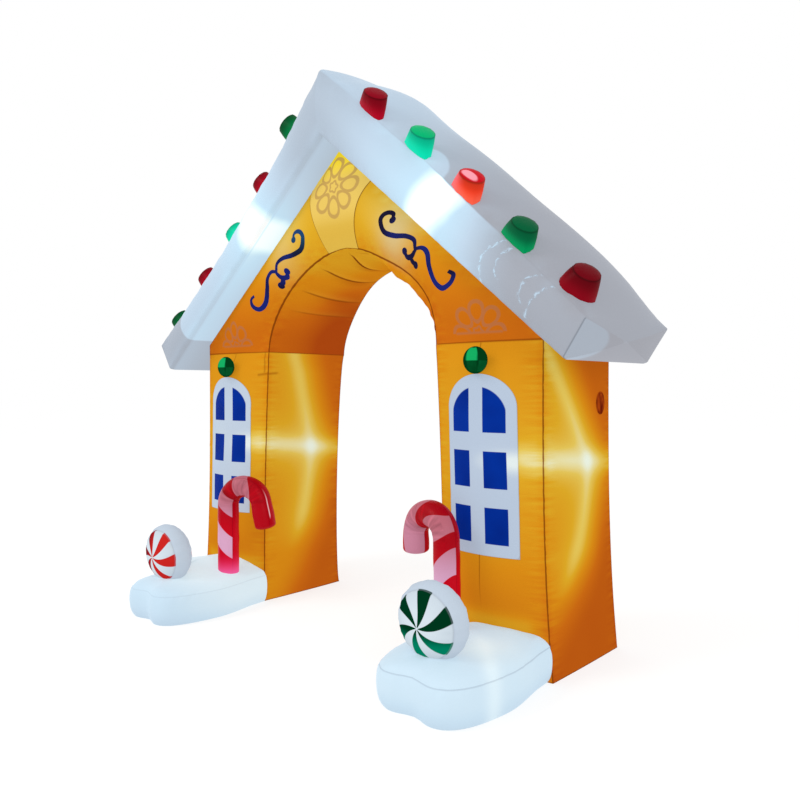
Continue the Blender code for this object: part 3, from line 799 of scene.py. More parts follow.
def makeRoof():
    ridge, middle, eave = roof["rings"]
    along = np.concatenate([blend(*ridge[:2], even(ridge[2])),
                            blend(*middle[:2], even(middle[2]))[1:],
                            blend(*eave[:2], nearSeams(eave[2], 0.5))[1:]])[:, None]
    run = along * roof["run"]
    full = 1.0 - along ** roof["crownEnd"]
    underX, underZ = wall["eaveHalf"] * along, blend(wall["apex"], wall["eaveHeight"], along)
    share, (upX, _, upZ) = smooth(along / roof["ridge"]), upSlope()
    overX = roof["half"] * along + upX * share * roofWave(along)
    overZ = blend(roof["height"], roof["tip"], along) + blend(1.0, upZ, share) * roofWave(along)
    front, back = roofSeams(along)
    still = smooth((1.0 - along) / roof["puckerEnd"])
    length, depth = roof["puckerLength"], roof["puckerDepth"]
    panels = Panels()

    def band(y0, y1, crown, push, seed, ends, number):
        place = nearSeams(roof["band"])[None, :-1]
        (x0, z0), (x1, z1) = ends
        away = toSeam(place) * roof["bandWide"]
        lift = crown * full * swell(place)
        lift = lift + puckers(away, run, seed, length, depth, roof["puckerReach"]) * still
        lift = lift + roof["bandSlack"] * ripples(run, seed + 2, 0.4) * swell(place)
        panels.add(blend(x0, x1, place), blend(y0, y1, place) + push * lift,
                   blend(z0, z1, place), away, number)

    under, over = (underX, underZ), (overX, overZ)
    band(roofFront, front, roof["fasciaCrown"], -1.0, roof["frontSeed"], (under, over), 1)
    place, seed = nearSeams(*roof["top"])[None, :-1], roof["topSeed"]
    away = toSeam(place) * (back - front)
    lift = puckers(away, run, seed, length, depth, roof["topReach"]) * still
    slack = ripples(run, seed + 2, 0.5) * ripples(blend(front, back, place), seed + 3, 0.4)
    lift = lift + roof["topSlack"] * slack * swell(place)
    top = roofTop(along, place) + upSlope() * lift[..., None]
    panels.add(top[..., 0], top[..., 1], top[..., 2], away, 2)
    band(back, roofBack, roof["eaveCrown"], 1.0, roof["backSeed"], (over, under), 3)
    place = even(roof["under"])[None, :-1]
    away = toSeam(place) * roof["underWide"]
    panels.add(underX, blend(roofBack, roofFront, place), underZ, away, 4)
    rows, edge, number = panels.joined()
    rows = softened(rows, edge)

    # the eave's end panel, swollen between its four seams
    ending = Vector((roof["half"] - wall["eaveHalf"], 0.0, roof["tip"] - wall["eaveHeight"]))
    ending.normalize()
    out = np.array((ending.z, 0.0, -ending.x)) * roof["eaveCrown"]
    last, middle, insets = rows[-1], rows[-1].mean(axis=0), np.array(roof["endInsets"])
    caps = [middle + (last - middle) * inset + out * (1.0 - inset ** roof["endRound"])
            for inset in insets]
    rows = np.concatenate([rows, np.array(caps)], axis=0)
    end = np.concatenate([roof["run"] - run[:, 0], -(1.0 - insets) * roof["endWide"]])

    def capped(values):                # the end panel goes on with the last ring's values
        return np.concatenate([values, np.repeat(values[-1:], len(caps), axis=0)], axis=0)

    def bothSlopes(values, turned=1.0):
        return np.concatenate([values[1:][::-1] * turned, values], axis=0)

    rows = bothSlopes(rows, np.array((-1.0, 1.0, 1.0)))
    edge, number, end = bothSlopes(capped(edge)), bothSlopes(capped(number)), bothSlopes(end)
    end = end[:, None]
    marks = {"edge": np.where(end < 0.0, 1.0, edge), "end": end,
             **panelMarks(number, ("fascia", "top", "rear", "under"))}
    return skin("snowRoofCloth", rows, marks)


# the snow cloth's colour from dim to brightly lit: the levels fed into it are painted lamp light
snowStops = [
    (0.0, shade(157, 158, 166)), (0.25, shade(170, 182, 196)), (0.45, shade(186, 206, 224)),
    (0.62, shade(192, 222, 241)), (0.8, shade(222, 247, 252)), (1.0, shade(254, 255, 255)),
]
snow = {"Roughness": 0.45, "Specular IOR Level": 0.05}
roofLamp = {
    "places": ((0.78, 2.235), (-0.545, 2.23)), "down": 0.743, "slope": 0.9, "across": 0.55,
    "spot": (0.075, 0.17), "spotLight": 0.96, "halo": 0.3, "haloLight": 0.36,
    "onTop": (0.72, -0.09), "onTopSize": (0.068, 0.085), "onTopLight": 0.22,
    "corner": (1.5, -0.16, 1.54), "cornerSize": (0.12, 0.28, 0.1), "cornerLight": 0.15,
    "leftEnd": (0.98, 1.92), "leftEndSize": (0.378, 0.392),
}


def roofPaint():
    paint = Paint("snowRoof", snow)
    fascia, top, rear, under = (paint.mark(word) for word in ("fascia", "top", "rear", "under"))
    out, end, right = abs(paint.x), paint.mark("end"), paint.x > 0.0
    # painted lamp light: a little brighter away from the ridge, darker towards the eaves' ends
    level = 0.29 + 0.17 * out.rise(0.0, 0.45) - 0.38 * out.rise(0.85, 1.26)
    # the left side stays brighter, but for its end outside a round light
    x, z = roofLamp["leftEnd"]
    leftEnd = distance(out - x, paint.z - z).rise(*roofLamp["leftEndSize"])
    leftLevel = 0.27 + 0.17 * out.rise(0.1, 0.6) - 0.26 * leftEnd * (out - 0.9).rise(0.0, 0.1)
    level = level * right + leftLevel * (1.0 - right)
    # painted light and shade: the top darker towards the eaves, the right eave's end panel dark,
    # the left fascia's low edge and the soffit's front lighter
    onTop = 0.42 - 0.36 * out.rise(0.25, 1.2)
    level = level * (1.0 - top) + onTop * top
    ending = end.fall(-0.004, 0.0) * (1.0 - top)
    level = level * (1.0 - ending * right) + 0.02 * ending
    aboveSoffit = paint.z - (wall["apex"] - out * soffitSlope)
    behindFront = paint.y - roofFront
    level = level + 0.05 * fascia * aboveSoffit.fall(0.0, 0.1) * (1.0 - right)
    level = level + 0.12 * under * behindFront.fall(0.0, 0.3)
    lowEdge = fascia * aboveSoffit.fall(0.004, 0.034) * (1.0 - right)
    shaded = under.rise(0.0, 0.06) | (lowEdge * 0.45)
    under = under * behindFront.fall(0.0, 0.5)
    share = fascia | rear * 0.6 | under * 0.9
    for x, z in roofLamp["places"]:
        # measured down the slope, and across it at half the rate
        du, dz = paint.x - x, paint.z - z
        slope = math.copysign(roofLamp["slope"], x)
        down = (du - dz * slope) * roofLamp["down"]
        across = (du * slope + dz) * roofLamp["down"] * (fascia + rear) * roofLamp["across"]
        spot = distance(down, across) + 0.03 * paint.uneven(9.0, 1.0)
        level = level.over(roofLamp["haloLight"] * spot.bell(roofLamp["halo"]) * share)
        level = level.over(roofLamp["spotLight"] * spot.fall(*roofLamp["spot"]) * share)
    # a round light shows through the top beside the right lamp
    x, y = roofLamp["onTop"]
    seen = distance(paint.x - x, paint.y - y)
    level = level + roofLamp["onTopLight"] * seen.fall(*roofLamp["onTopSize"]) * top
    level = level + 0.05 * paint.uneven(2.4, 1.0)
    # a lamp's round light at the right eave's front corner
    disc = distance(*((here - place) / size for here, place, size in zip(
        (paint.x, paint.y, paint.z), roofLamp["corner"], roofLamp["cornerSize"])))
    level = level + roofLamp["cornerLight"] * disc.fall(0.92, 1.04) * ending
    # broken wrinkles in arcs, low on the right, painted as bright highlights and given a small
    # bump
    torn = paint.cloud(34.0, 3.0)
    litWrinkleArcs = 0.0
    for x, z, size in roof["wrinkles"]:
        du, dz = paint.x - x, paint.z - z
        ring = distance(du, dz) + 0.04 * (torn - 0.5) - size
        near = du.fall(-0.01, 0.05) * dz.rise(-0.07, -0.02)
        litWrinkleArcs = ring.bell(0.005) * near + litWrinkleArcs
    litWrinkleArcs = litWrinkleArcs * fascia * paint.cloud(48.0, 2.0).rise(0.38, 0.56)
    level = level + 0.36 * litWrinkleArcs
    level = level + 0.24 * litFolds(paint, 7.0, 0.12, 1.0, 1.0, 1.0) * (1.0 - shaded)
    tone = paint.ramp(level, snowStops)
    seams = abs(end).fall(0.001, 0.004)
    tone = paint.mix(seams * fascia * 0.5, tone, shade(110, 118, 130))
    edges = paint.mark("edge").fall(0.0, 0.005) * (rear + 0.3 * top) * 0.25
    tone = paint.mix(edges, tone, shade(120, 126, 138))
    # underneath, less of the light is the cloth's own
    paint.set("Base Color", paint.dim(tone, cloth["own"] - 0.29 * shaded))
    paint.set("Emission Color", paint.dim(tone, 1.0 + 0.62 * shaded))
    paint.shader.inputs["Emission Strength"].default_value = cloth["lit"]
    clothRelief(paint, cloth["round"], sewnCreases(paint, 0.3, 0.2), [(litWrinkleArcs, 0.004)])
    return paint.material


roofCloth = dress(makeRoof(), roofPaint(), "snow_roof", 100)
roofTree = treeOf(roofCloth)
print("roof made")


# thin pieces sewn flat on the walls

sewn = {"lift": 0.0016, "thick": 0.0022}


def sheetSkin(name, grid, push, away):
    # a grid of points on a panel, given a thickness outwards, along push
    push = np.array(push)
    low, high = grid + push * sewn["lift"], grid + push * (sewn["lift"] + sewn["thick"])
    rows = np.concatenate([high, low[:, ::-1]], axis=1)
    return skin(name, rows, {"edge": np.concatenate([away, away[:, ::-1]], axis=1)})


def sew(thing, paint, node):
    dress(thing, paint, node, sharp=50)


window = {
    "x": 0.972, "drift": 0.018, "driftRun": 0.69,
    "half": 0.196, "foot": 0.547, "shoulder": 1.24, "top": 1.397,
    "size": (0.41, 0.88), "area": 0.34,
    "paneNear": (0.812, 0.918), "paneFar": (0.998, 1.117),
    "rows": ((0.603, 0.772), (0.862, 1.034), (1.122, 1.335)),
    "paneHead": (0.9645, 1.195), "paneHeadSize": (0.157, 0.142),
    "light": {"left": 0.58, "right": 0.5},
    # the white cloth's colour from dim to lit by the pillar's lamp
    "white": [(0.3, shade(168, 184, 206)), (0.55, shade(182, 196, 214)),
              (0.8, shade(220, 230, 230))],
}
whiteCloth = {"Roughness": 0.5, "Specular IOR Level": 0.02}


def makeWindow(label, side):
    head = window["top"] - window["shoulder"]
    tall = blend(window["foot"], window["shoulder"], even(40))[:-1]
    rounded = window["shoulder"] + head * np.sin(even(18) * math.radians(87.0))
    z = np.concatenate([tall, rounded])[:, None]
    rise = np.clip((z - window["shoulder"]) / head, 0.0, 1.0)
    half = window["half"] * np.sqrt(1.0 - rise ** 2)
    drift = np.clip((window["shoulder"] - z) / window["driftRun"], 0.0, 1.0)
    u = blend(-1.0, 1.0, nearSeams(30, 0.5))[None, :]
    x = side * (window["x"] + window["drift"] * drift + half * u)
    x, z = np.broadcast_arrays(x, z)
    grid = np.stack([x, pillarFront(x, z, side), z], axis=-1)
    away = np.minimum((1.0 - np.abs(u)) * half, z - window["foot"])
    return sheetSkin(nameFor("window", label, "Cloth"), grid, (0.0, -1.0, 0.0), away)


def windowPaint(label, side):
    paint = Paint(nameFor("windowPrint", label), whiteCloth)
    x, z = abs(paint.x) - 0.02 * paint.z.fall(0.5, 1.25), paint.z

    def inside(value, low, high, soft=0.0016):
        return value.rise(low - soft, low + soft) * value.fall(high - soft, high + soft)

    columns = inside(x, *window["paneNear"]) + inside(x, *window["paneFar"])
    rows = 0.0
    for low, high in window["rows"]:
        rows = inside(z, low, high) + rows
    # the top panes' outer corners are rounded like the head
    (middle, spring), (wide, high) = window["paneHead"], window["paneHeadSize"]
    headX, headZ = abs(x - middle) / wide, (z - spring).sum("MAXIMUM", 0.0) / high
    head = distance(headX, headZ).fall(0.98, 1.02)
    # painted lamp light: the white a little uneven, with a bright band across part of the window
    # level with the pillar's lamp
    reach = x.rise(0.86, 1.17) if side > 0 else x.fall(0.74, 0.98)
    level = window["light"][label] + 0.1 * paint.uneven(4.0, 1.0)
    level = level + 0.32 * (paint.z - 0.99).bell(0.05) * reach
    white = paint.ramp(level, window["white"])
    blue = paint.mix(paint.cloud(7.0, 1.0), shade(0, 30, 118), shade(0, 50, 156))
    tone = paint.mix(columns * rows * head, white, blue)
    tone = paint.mix(seamLine(paint, "edge", 0.0022) * 0.35, tone, shade(120, 110, 110))
    return finished(paint, tone, (1.0, 1.0, 3.0), 0.25)


for side, label in halves:
    sew(makeWindow(label, side), windowPaint(label, side), "window_" + label)


keystone = {
    "topHalf": 0.255, "footHalf": 0.118, "waist": 0.01, "footGap": 0.002, "headGap": 0.004,
    "size": (0.52, 0.6), "area": 0.22,
    # the yellow cloth's colour from dim to lit
    "yellow": [(0.3, shade(214, 170, 60)), (0.5, shade(219, 180, 74)),
               (0.68, shade(229, 195, 98))],
}


def archHeight(x):
    share = (1.0 - (np.abs(x) / wall["doorHalf"]) ** wall["archRound"])
    return wall["archRise"] * share ** (1.0 / wall["archRound"])


def makeKeystone():
    v = nearSeams(40, 0.4)[:, None]
    u = blend(-1.0, 1.0, nearSeams(32, 0.5))[None, :]
    half = blend(keystone["footHalf"], keystone["topHalf"], v) - keystone["waist"] * swell(v)
    x = u * half
    low = seamHeight + archHeight(x) + keystone["footGap"]
    high = soffitHeight(x) - keystone["headGap"]
    z = blend(low, high, v)
    grid = np.stack([x, gableFront(x, z), z], axis=-1)
    away = np.minimum((1.0 - np.abs(u)) * half, v * (high - low) + 0.003)
    return sheetSkin("keystoneCloth", grid, (0.0, -1.0, 0.0), away)


def keystonePaint():
    paint = Paint("keystonePrint", gingerbread)
    # painted light: brighter towards the top with a dimmer band across the middle, and a bright
    # yellow glow at the very top
    level = 0.5 + 0.16 * paint.z.rise(2.1, 2.35) - 0.1 * (paint.z - 2.2).bell(0.06)
    tone = paint.ramp(level, keystone["yellow"])
    tone = paint.mix(paint.z.rise(2.44, 2.62) * 0.85, tone, shade(255, 226, 30))
    whole = flower["whole"]
    printed = flowerPrint(paint, paint.x, paint.z - whole["z"], whole["size"])
    tone = paint.mix(printed * 0.8, tone, shade(186, 148, 84))
    tone = paint.mix(seamLine(paint, "edge", 0.003) * 0.85, tone, shade(110, 60, 14))
    return finished(paint, tone, (1.0, 1.0, 2.0), 0.3)


sew(makeKeystone(), keystonePaint(), "keystone_panel")


patch = {"radius": 0.057, "y": 0.519, "z": 1.255, "size": (0.115, 0.115), "area": 0.0102,
         "hem": 0.008, "hemWide": 0.003}


def makePatch():
    turn = np.radians(blend(-88.0, 88.0, even(24)))[:, None]
    u, v = blend(-1.0, 1.0, nearSeams(24, 0.5))[None, :] * np.cos(turn), np.sin(turn)
    y, z = np.broadcast_arrays(patch["y"] + patch["radius"] * u, patch["z"] + patch["radius"] * v)
    grid = np.stack([pillarOuter(y, z, 1), y, z], axis=-1)
    away = patch["radius"] * (1.0 - np.hypot(u, v))
    return sheetSkin("sidePatchCloth", grid, (1.0, 0.0, 0.0), away)


def patchPaint():
    paint = Paint("patchCloth", {"Roughness": 0.6, "Specular IOR Level": 0.0})
    spread = paint.cloud(22.0, 2.0, paint.stretch(1.0, 1.0, 0.6))
    tone = paint.mix(spread.rise(0.35, 0.65), shade(158, 62, 14), shade(98, 24, 8))
    ring = (paint.mark("edge") - patch["hem"]).bell(patch["hemWide"])
    tone = paint.mix(ring * 0.5, tone, shade(84, 22, 6))
    return finished(paint, tone, cloth["round"], 0.5, 0.5, 0.55)


sew(makePatch(), patchPaint(), "side_patch")
print("sewn pieces made")


# navy scrolls, printed on the gable

scroll = {
    "left": (0.4945, 2.019), "right": (0.586, 2.027), "lift": 0.0012,
    "wide": 0.0122, "taper": (0.72, 1.15), "dot": 0.019,
    "strokes": (
        ((-0.16, 0.168), (-0.163, 0.2), (-0.19, 0.212), (-0.222, 0.202), (-0.236, 0.17),
         (-0.21, 0.112), (-0.138, 0.083), (-0.064, 0.072), (-0.013, 0.046), (0.0, 0.0)),
        ((0.0, 0.0), (0.043, 0.0), (0.076, -0.034), (0.091, -0.1), (0.122, -0.175),
         (0.172, -0.211), (0.22, -0.19), (0.232, -0.15), (0.202, -0.13)),
        ((0.004, -0.004), (-0.024, -0.034), (-0.06, -0.034), (-0.073, -0.004)),
        ((-0.034, -0.036), (-0.026, -0.06), (-0.006, -0.08)),
    ),
    "dots": ((0, 0), (2, -1), (3, -1)),
}


def throughPoints(points, steps=9):    # a smooth line through points
    points = [np.array(point) for point in points]
    points = [2 * points[0] - points[1]] + points + [2 * points[-1] - points[-2]]
    line = []
    for a, b, c, d in zip(points, points[1:], points[2:], points[3:]):
        for t in even(steps)[:-1]:
            line.append(0.5 * (2 * b + (c - a) * t + (2 * a - 5 * b + 4 * c - d) * t ** 2
                               + (3 * b - a - 3 * c + d) * t ** 3))
    return np.array(line + [points[-2]])


def makeScroll(label, side):
    startX, startZ = scroll[label]
    whole = bmesh.new()

    def lay(x, z):                     # a grid of the print, just off the cloth
        x, z = side * (startX + x), startZ + z
        rows = np.stack([x, gableFront(x, z) - scroll["lift"], z], axis=-1)
        corners = [[whole.verts.new(point) for point in row] for row in rows.tolist()]
        for one, two in zip(corners, corners[1:]):
            for a, b, c, d in zip(one, one[1:], two[1:], two):
                whole.faces.new((a, b, c, d))

    for stroke in scroll["strokes"]:
        line = throughPoints(stroke)
        ahead = np.gradient(line, axis=0)
        ahead = ahead / np.linalg.norm(ahead, axis=1, keepdims=True)
        aside = np.stack([-ahead[:, 1], ahead[:, 0]], axis=-1)
        wide = scroll["wide"] * blend(*scroll["taper"], swell(even(len(line) - 1)))
        u = blend(-1.0, 1.0, even(4))[None, :, None]
        grid = line[:, None, :] + aside[:, None, :] * wide[:, None, None] * u
        lay(grid[..., 0], grid[..., 1])
    for stroke, end in scroll["dots"]:
        x, z = scroll["strokes"][stroke][end]
        turn = even(20)[:, None] * 2.0 * math.pi
        out = blend(0.02, 1.0, even(3))[None, :] * scroll["dot"]
        lay(x + out * np.cos(turn), z + out * np.sin(turn))
    thing = fromMesh(nameFor("scroll", label, "Print"), whole)
    if thing.data.polygons[0].normal.y > 0:
        thing.data.flip_normals()
    return thing


def scrollPaint():
    paint = Paint("navyPrint", {"Roughness": 0.5, "Specular IOR Level": 0.02})
    level = paint.cloud(4.0, 1.0)
    tone = paint.mix(level.rise(0.38, 0.62), shade(20, 16, 44), shade(22, 34, 112))
    # a paler band of painted lamp light across the left scroll, level with the roof's left lamp
    tone = paint.mix((paint.z - 2.2).bell(0.06) * (paint.x < 0.0) * 0.6, tone, shade(28, 84, 120))
    return finished(paint, tone, (1.0, 1.0, 2.0), 0.2)


navy = scrollPaint()
for side, label in halves:
    dress(makeScroll(label, side), navy, sharp=60)
print("prints made")


# gumdrops along the roof

drop = {
    "base": {"left": 0.07, "right": 0.087}, "top": 0.063, "behind": 0.35, "square": 0.55,
    "height": {"left": (0.084, 0.064, 0.06, 0.067, 0.088),
               "right": (0.09, 0.092, 0.09, 0.082, 0.077)},
    "setback": {"left": (0.105, 0.118, 0.13, 0.143, 0.155),
                "right": (0.024, 0.028, 0.034, 0.042, 0.109)},
    "along": {"left": (0.193, 0.3785, 0.564, 0.7495, 0.935),
              "right": (0.202, 0.3855, 0.569, 0.7525, 0.923)},
    "lean": math.radians(21), "dome": 0.012, "lid": (0.97, 0.9, 0.78, 0.62, 0.45, 0.28, 0.1),
    "swell": 0.0035, "pucker": 0.0016, "lidPucker": 0.0015, "run": 0.07, "around": 48,
    "seamGap": 0.004, "reach": 0.4, "seed": 100, "body": (16, 0.6),
}


def makeDrop(number, label, side):
    along, setback = drop["along"][label][number], drop["setback"][label][number]
    tall, seed = drop["height"][label][number], drop["seed"] + 10 * number + (side > 0)
    behindSeam = setback / (roofBack - roofFront)
    seat = Vector(roofTop(np.array([[along]]), np.array([[behindSeam]]))[0, 0])
    axis = Vector(upSlope()) * math.cos(drop["lean"])
    axis = axis + Vector((0.0, -1.0, 0.0)) * math.sin(drop["lean"])
    turnTo = Vector((0.0, 0.0, 1.0)).rotation_difference(axis).to_matrix()
    columns, count = [], drop["around"]
    body, lid = nearSeams(*drop["body"]), np.array(drop["lid"])
    for step in range(count):
        a = 2.0 * math.pi * step / count
        ray = Vector((math.cos(a), math.sin(a), 0.0))
        out, run = turnTo @ ray, np.array(a * drop["run"])
        rim = seat + turnTo @ (ray * drop["top"] + Vector((0, 0, tall)))
        # the foot is drawn out along the roof's front seam and kept short behind it
        foot = ray.copy()
        if ray.y < 0:
            foot.x = math.copysign(abs(ray.x) ** drop["square"], ray.x)
        elif ray.y > 0:
            foot.y *= drop["behind"]
        foot = seat + turnTo @ (foot * drop["base"][label])
        share = min(max(foot.x / roof["half"], 0.0), 1.0)
        foot.y = max(foot.y, float(roofSeams(share)[0]) + drop["seamGap"])
        hit = roofTree.ray_cast(rim, (foot - rim).normalized(), drop["reach"])[0] or foot
        column = []
        for place in body:
            puckered = (ripples(run, seed, 0.022) * fade(place, 0.18)
                        + ripples(run, seed + 1, 0.02) * fade(1.0 - place, 0.16))
            lift = drop["swell"] * swell(place) + drop["pucker"] * puckered
            column.append(hit.lerp(rim, float(place)) + out * float(lift))
        for share in lid:
            puckered = ripples(run, seed + 2, 0.02) * share ** 4 * (1.0 - share) * 6.0
            rise = drop["dome"] * (1.0 - share ** 3) + drop["lidPucker"] * puckered
            point = ray * drop["top"] * share + Vector((0, 0, tall + rise))
            column.append(seat + turnTo @ point)
        columns.append([(side * p.x, p.y, p.z) for p in column])
    turn = 2.0 * math.pi * even(count)[None, :-1]
    size = np.concatenate([np.ones(len(body)), lid])[:, None]
    marks = {"lid": (np.arange(len(size)) >= len(body))[:, None] * 1.0,
             "tall": np.concatenate([body, 2.0 - lid])[:, None],
             "down": size * np.cos(turn), "back": size * np.sin(turn)}
    name = nameFor("gumdrop", label, str(number + 1))
    return skin(name, np.array(columns).transpose(1, 0, 2), marks)


dropLooks = {                          # body, its painted brighter lower part, lid; lit, dim and shaded copies of the red and the green; then the two sides' orders
    "redDark": ((140, 2, 24), (176, 4, 34), (138, 2, 26)),
    "redLit": ((240, 62, 34), (255, 96, 70), (200, 6, 26)),
    "redDeep": ((112, 2, 16), (134, 4, 22), (108, 2, 16)),
    "greenLit": ((4, 205, 158), (6, 226, 180), (0, 178, 112)),
    "greenDark": ((0, 104, 62), (0, 150, 88), (0, 92, 54)),
    "greenDeep": ((0, 88, 44), (0, 120, 64), (0, 80, 40)),
    "right": ("redDark", "greenLit", "redLit", "greenDark", "redDeep"),
    "left": ("greenDeep", "redDark", "greenLit", "redDark", "greenDeep"),
}
dropPaints = {}


def dropPaint(look):
    if look in dropPaints:
        return dropPaints[look]
    paint = Paint("gumdrop" + look[0].upper() + look[1:],
                  {"Roughness": 0.4, "Specular IOR Level": 0.03})
    body, low, lid = (shade(*colour) for colour in dropLooks[look])
    tall, down, back = paint.mark("tall"), paint.mark("down"), paint.mark("back")
    # painted light and shade: brighter low on the body, darker under the rim
    tone = paint.mix(tall.rise(0.05, 0.7), low, body)
    tone = paint.mix(tall.rise(0.45, 0.95) * 0.5, tone, paint.dim(body, 0.45))
    tone = paint.mix(paint.mark("lid"), tone, lid)
    if look == "redLit":               # the lamp's light painted on its lid and on its uphill side, which faces the lamp
        uphill = down.fall(-0.9, 0.2) * (tall < 1.0)
        tone = paint.mix(uphill * 0.6, tone, shade(255, 118, 130))
        light = distance(down * 0.85, (back + 0.36) * 1.5)
        light = light.fall(0.5, 0.72) * (tall > 1.0)
        tone = paint.mix(light, tone, shade(255, 158, 172))
    farRim = (back - 0.35 * down).rise(0.45, 1.0) * tall.rise(0.9, 1.0)
    tone = paint.mix(farRim * 0.7, tone, paint.dim(body, 0.3))
    tone = paint.mix((tall - 1.0).bell(0.06) * 0.8, tone, paint.dim(body, 0.33))
    tone = paint.mix(tall.fall(0.0, 0.03) * 0.4, tone, paint.dim(body, 0.5))
    dropPaints[look] = finished(paint, tone, cloth["round"], 0.4)
    return dropPaints[look]


for side, label in halves:
    for number, look in enumerate(dropLooks[label]):
        dress(makeDrop(number, label, side), dropPaint(look),
              f"gumdrop_{label}_{number + 1}")
print("gumdrops made")


# green balls over the windows

ball = {
    "radius": 0.064, "depth": 0.052, "x": {"left": -0.937, "right": 0.982}, "z": 1.46,
    "out": 0.036, "wallGap": 0.0045, "gores": 6, "goreFlat": 0.8, "turn": 0.84, "litGore": 5,
    "across": 36, "around": 64, "tileSeed": 12, "dimTiles": (0.0, 0.4),
}


def wallFace(x, z, side):
    pillar = pillarFront(x, np.minimum(z, seamHeight), side)
    return np.where(z < seamHeight, pillar, gableFront(x, z))


def makeBall(label, side):
    x, z, gores = ball["x"][label], ball["z"], ball["gores"]
    y = float(pillarFront(np.array(x), np.array(z - 0.05), side)) - ball["out"]
    a = blend(0.06, math.pi - 0.06, even(ball["across"]))[:, None]
    b = 2.0 * math.pi * even(ball["around"])[None, :-1]
    oneGore = 2.0 * math.pi / gores
    place = ((b + ball["turn"]) / oneGore) % gores
    inner = place % 1.0 - 0.5
    flatGore = math.cos(oneGore / 2.0) / np.cos(inner * oneGore)
    full = blend(1.0, flatGore, ball["goreFlat"] * np.sin(a))
    full = full + 0.02 * ripples(b * 0.06, 5, 0.03) * np.sin(a)
    x = x + ball["radius"] * full * np.sin(a) * np.cos(b)
    y = y + ball["depth"] * full * np.sin(a) * np.sin(b)
    z = z + ball["radius"] * full * np.cos(a)
    y = np.minimum(y, wallFace(x, z, side) - ball["wallGap"])
    # one upper panel stands in the light, the others are dim
    gore, low = place.astype(int) % gores, (a > math.pi * 0.5) * 1
    tiles = np.random.default_rng(ball["tileSeed"]).uniform(*ball["dimTiles"], (2, gores))
    tiles[0, ball["litGore"]] = 1.0
    lit = smooth((0.75 - np.abs(inner)) / 0.4) * smooth((np.sin(a) - 0.25) / 0.3)
    marks = {"gore": np.abs(inner) * 2.0 * np.sin(a), "tile": tiles[low, gore] * lit}
    return skin(nameFor("ball", label, "Cloth"), np.stack([x, y, z], axis=-1), marks)


def ballPaint():
    paint = Paint("ballGreen", {"Roughness": 0.4, "Specular IOR Level": 0.0})
    lit = paint.mark("tile") + 0.2 * paint.uneven(20.0, 2.0)
    tone = paint.mix(lit.rise(0.1, 0.9), shade(2, 58, 24), shade(20, 160, 90))
    tone = paint.mix(paint.mark("gore").rise(0.72, 0.95) * 0.6, tone, shade(0, 40, 16))
    return finished(paint, tone, cloth["round"], 0.5, 0.5, 0.5)


ballCloth = ballPaint()
for side, label in halves:
    dress(makeBall(label, side), ballCloth, "ball_" + label, 30)


# snow bases

base = {
    "left": (-0.9, 0.29, 0.22), "right": (1.083, 0.298, 0.245),
    "length": 0.738, "skew": 0.015, "side": 0.165, "top": 0.215, "square": 0.5,
    "notch": 0.035, "notchWide": 0.28, "widening": 0.55, "heap": {"left": 0.055, "right": 0.0},
    "core": 0.35, "wallGap": 0.0015, "pucker": 0.0045, "puckerGap": 0.004, "slack": 0.002,
    "seeds": (31, 41), "around": 150, "seam": 11,
    "levels": (            # how far out each ring stands, and how high
        (-0.026, 0.0), (-0.017, 0.012), (-0.01, 0.026), (-0.005, 0.045), (-0.002, 0.065),
        (0.0, 0.09), (0.0, 0.105), (-0.001, 0.12), (-0.003, 0.135), (-0.006, 0.148),
        (-0.009, 0.158), (-0.012, 0.165), (-0.0145, 0.1665), (-0.018, 0.171), (-0.025, 0.18),
        (-0.034, 0.188), (-0.046, 0.195), (-0.06, 0.2005), (-0.08, 0.2065), (-0.1, 0.2105),
        (-0.12, 0.213), (-0.14, 0.2145), (-0.17, 0.2155), (-0.2, 0.216)),
}


def baseOutline(label, grow):
    middle, frontHalf, backHalf = base[label]
    a = math.pi * even(base["around"])
    c, s = np.cos(a), np.maximum(np.sin(a), 0.0)
    u, v = np.sign(c) * np.abs(c) ** base["square"], s ** base["square"]
    half = blend(backHalf, frontHalf, smooth(v / base["widening"])) + grow
    front = base["length"] + grow - base["skew"] * u - base["notch"] * hill(u, base["notchWide"])
    return middle - u * half, wall["front"] - v * front


def makeBase(label, side):
    rows, middle, (puckerSeed, slackSeed) = [], base[label][0], base["seeds"]
    for grow, z in base["levels"]:
        x, y = baseOutline(label, grow)
        run = np.cumsum(np.hypot(np.diff(x, prepend=x[0]), np.diff(y, prepend=y[0])))
        away = abs(z - base["side"]) + 0.6 * abs(grow + 0.012)
        sewnIn = fade(away, 0.03) * (1.0 - fade(away, base["puckerGap"]))
        lift = base["pucker"] * sewnIn * ripples(run, puckerSeed + side, 0.06)
        lift = lift + base["slack"] * ripples(run, slackSeed + side, 0.3) * min(z / 0.05, 1.0)
        outX, outY = x - middle, y + base["core"]
        size = np.maximum(np.hypot(outX, outY), 1e-6)
        top = smooth((z - 0.16) / 0.03)
        x, y = x + outX / size * lift * (1 - top), y + outY / size * lift * (1 - top)
        height = z + lift * top if z > 0.0 else z
        # one is fuller at the back, beside its pillar
        heap = smooth((-0.72 - x) / 0.28) * smooth((y + 0.5) / 0.24)
        z = height + base["heap"][label] * heap * smooth((height - 0.1) / 0.09)
        y = np.minimum(y, pillarFront(x, z, side) - base["wallGap"])
        rows.append(np.stack([x, y, z], axis=-1))
    marks = {"level": np.arange(len(rows))[:, None] - base["seam"]}
    return skin(nameFor("snowBase", label, "Cloth"), rows, marks)


# the snow cloth's colour from dim to brightly lit by its lamp
baseStops = [
    (0.2, shade(186, 207, 226)), (0.45, shade(199, 222, 238)), (0.65, shade(215, 234, 245)),
    (0.85, shade(230, 246, 252)), (1.0, shade(244, 253, 255)),
]


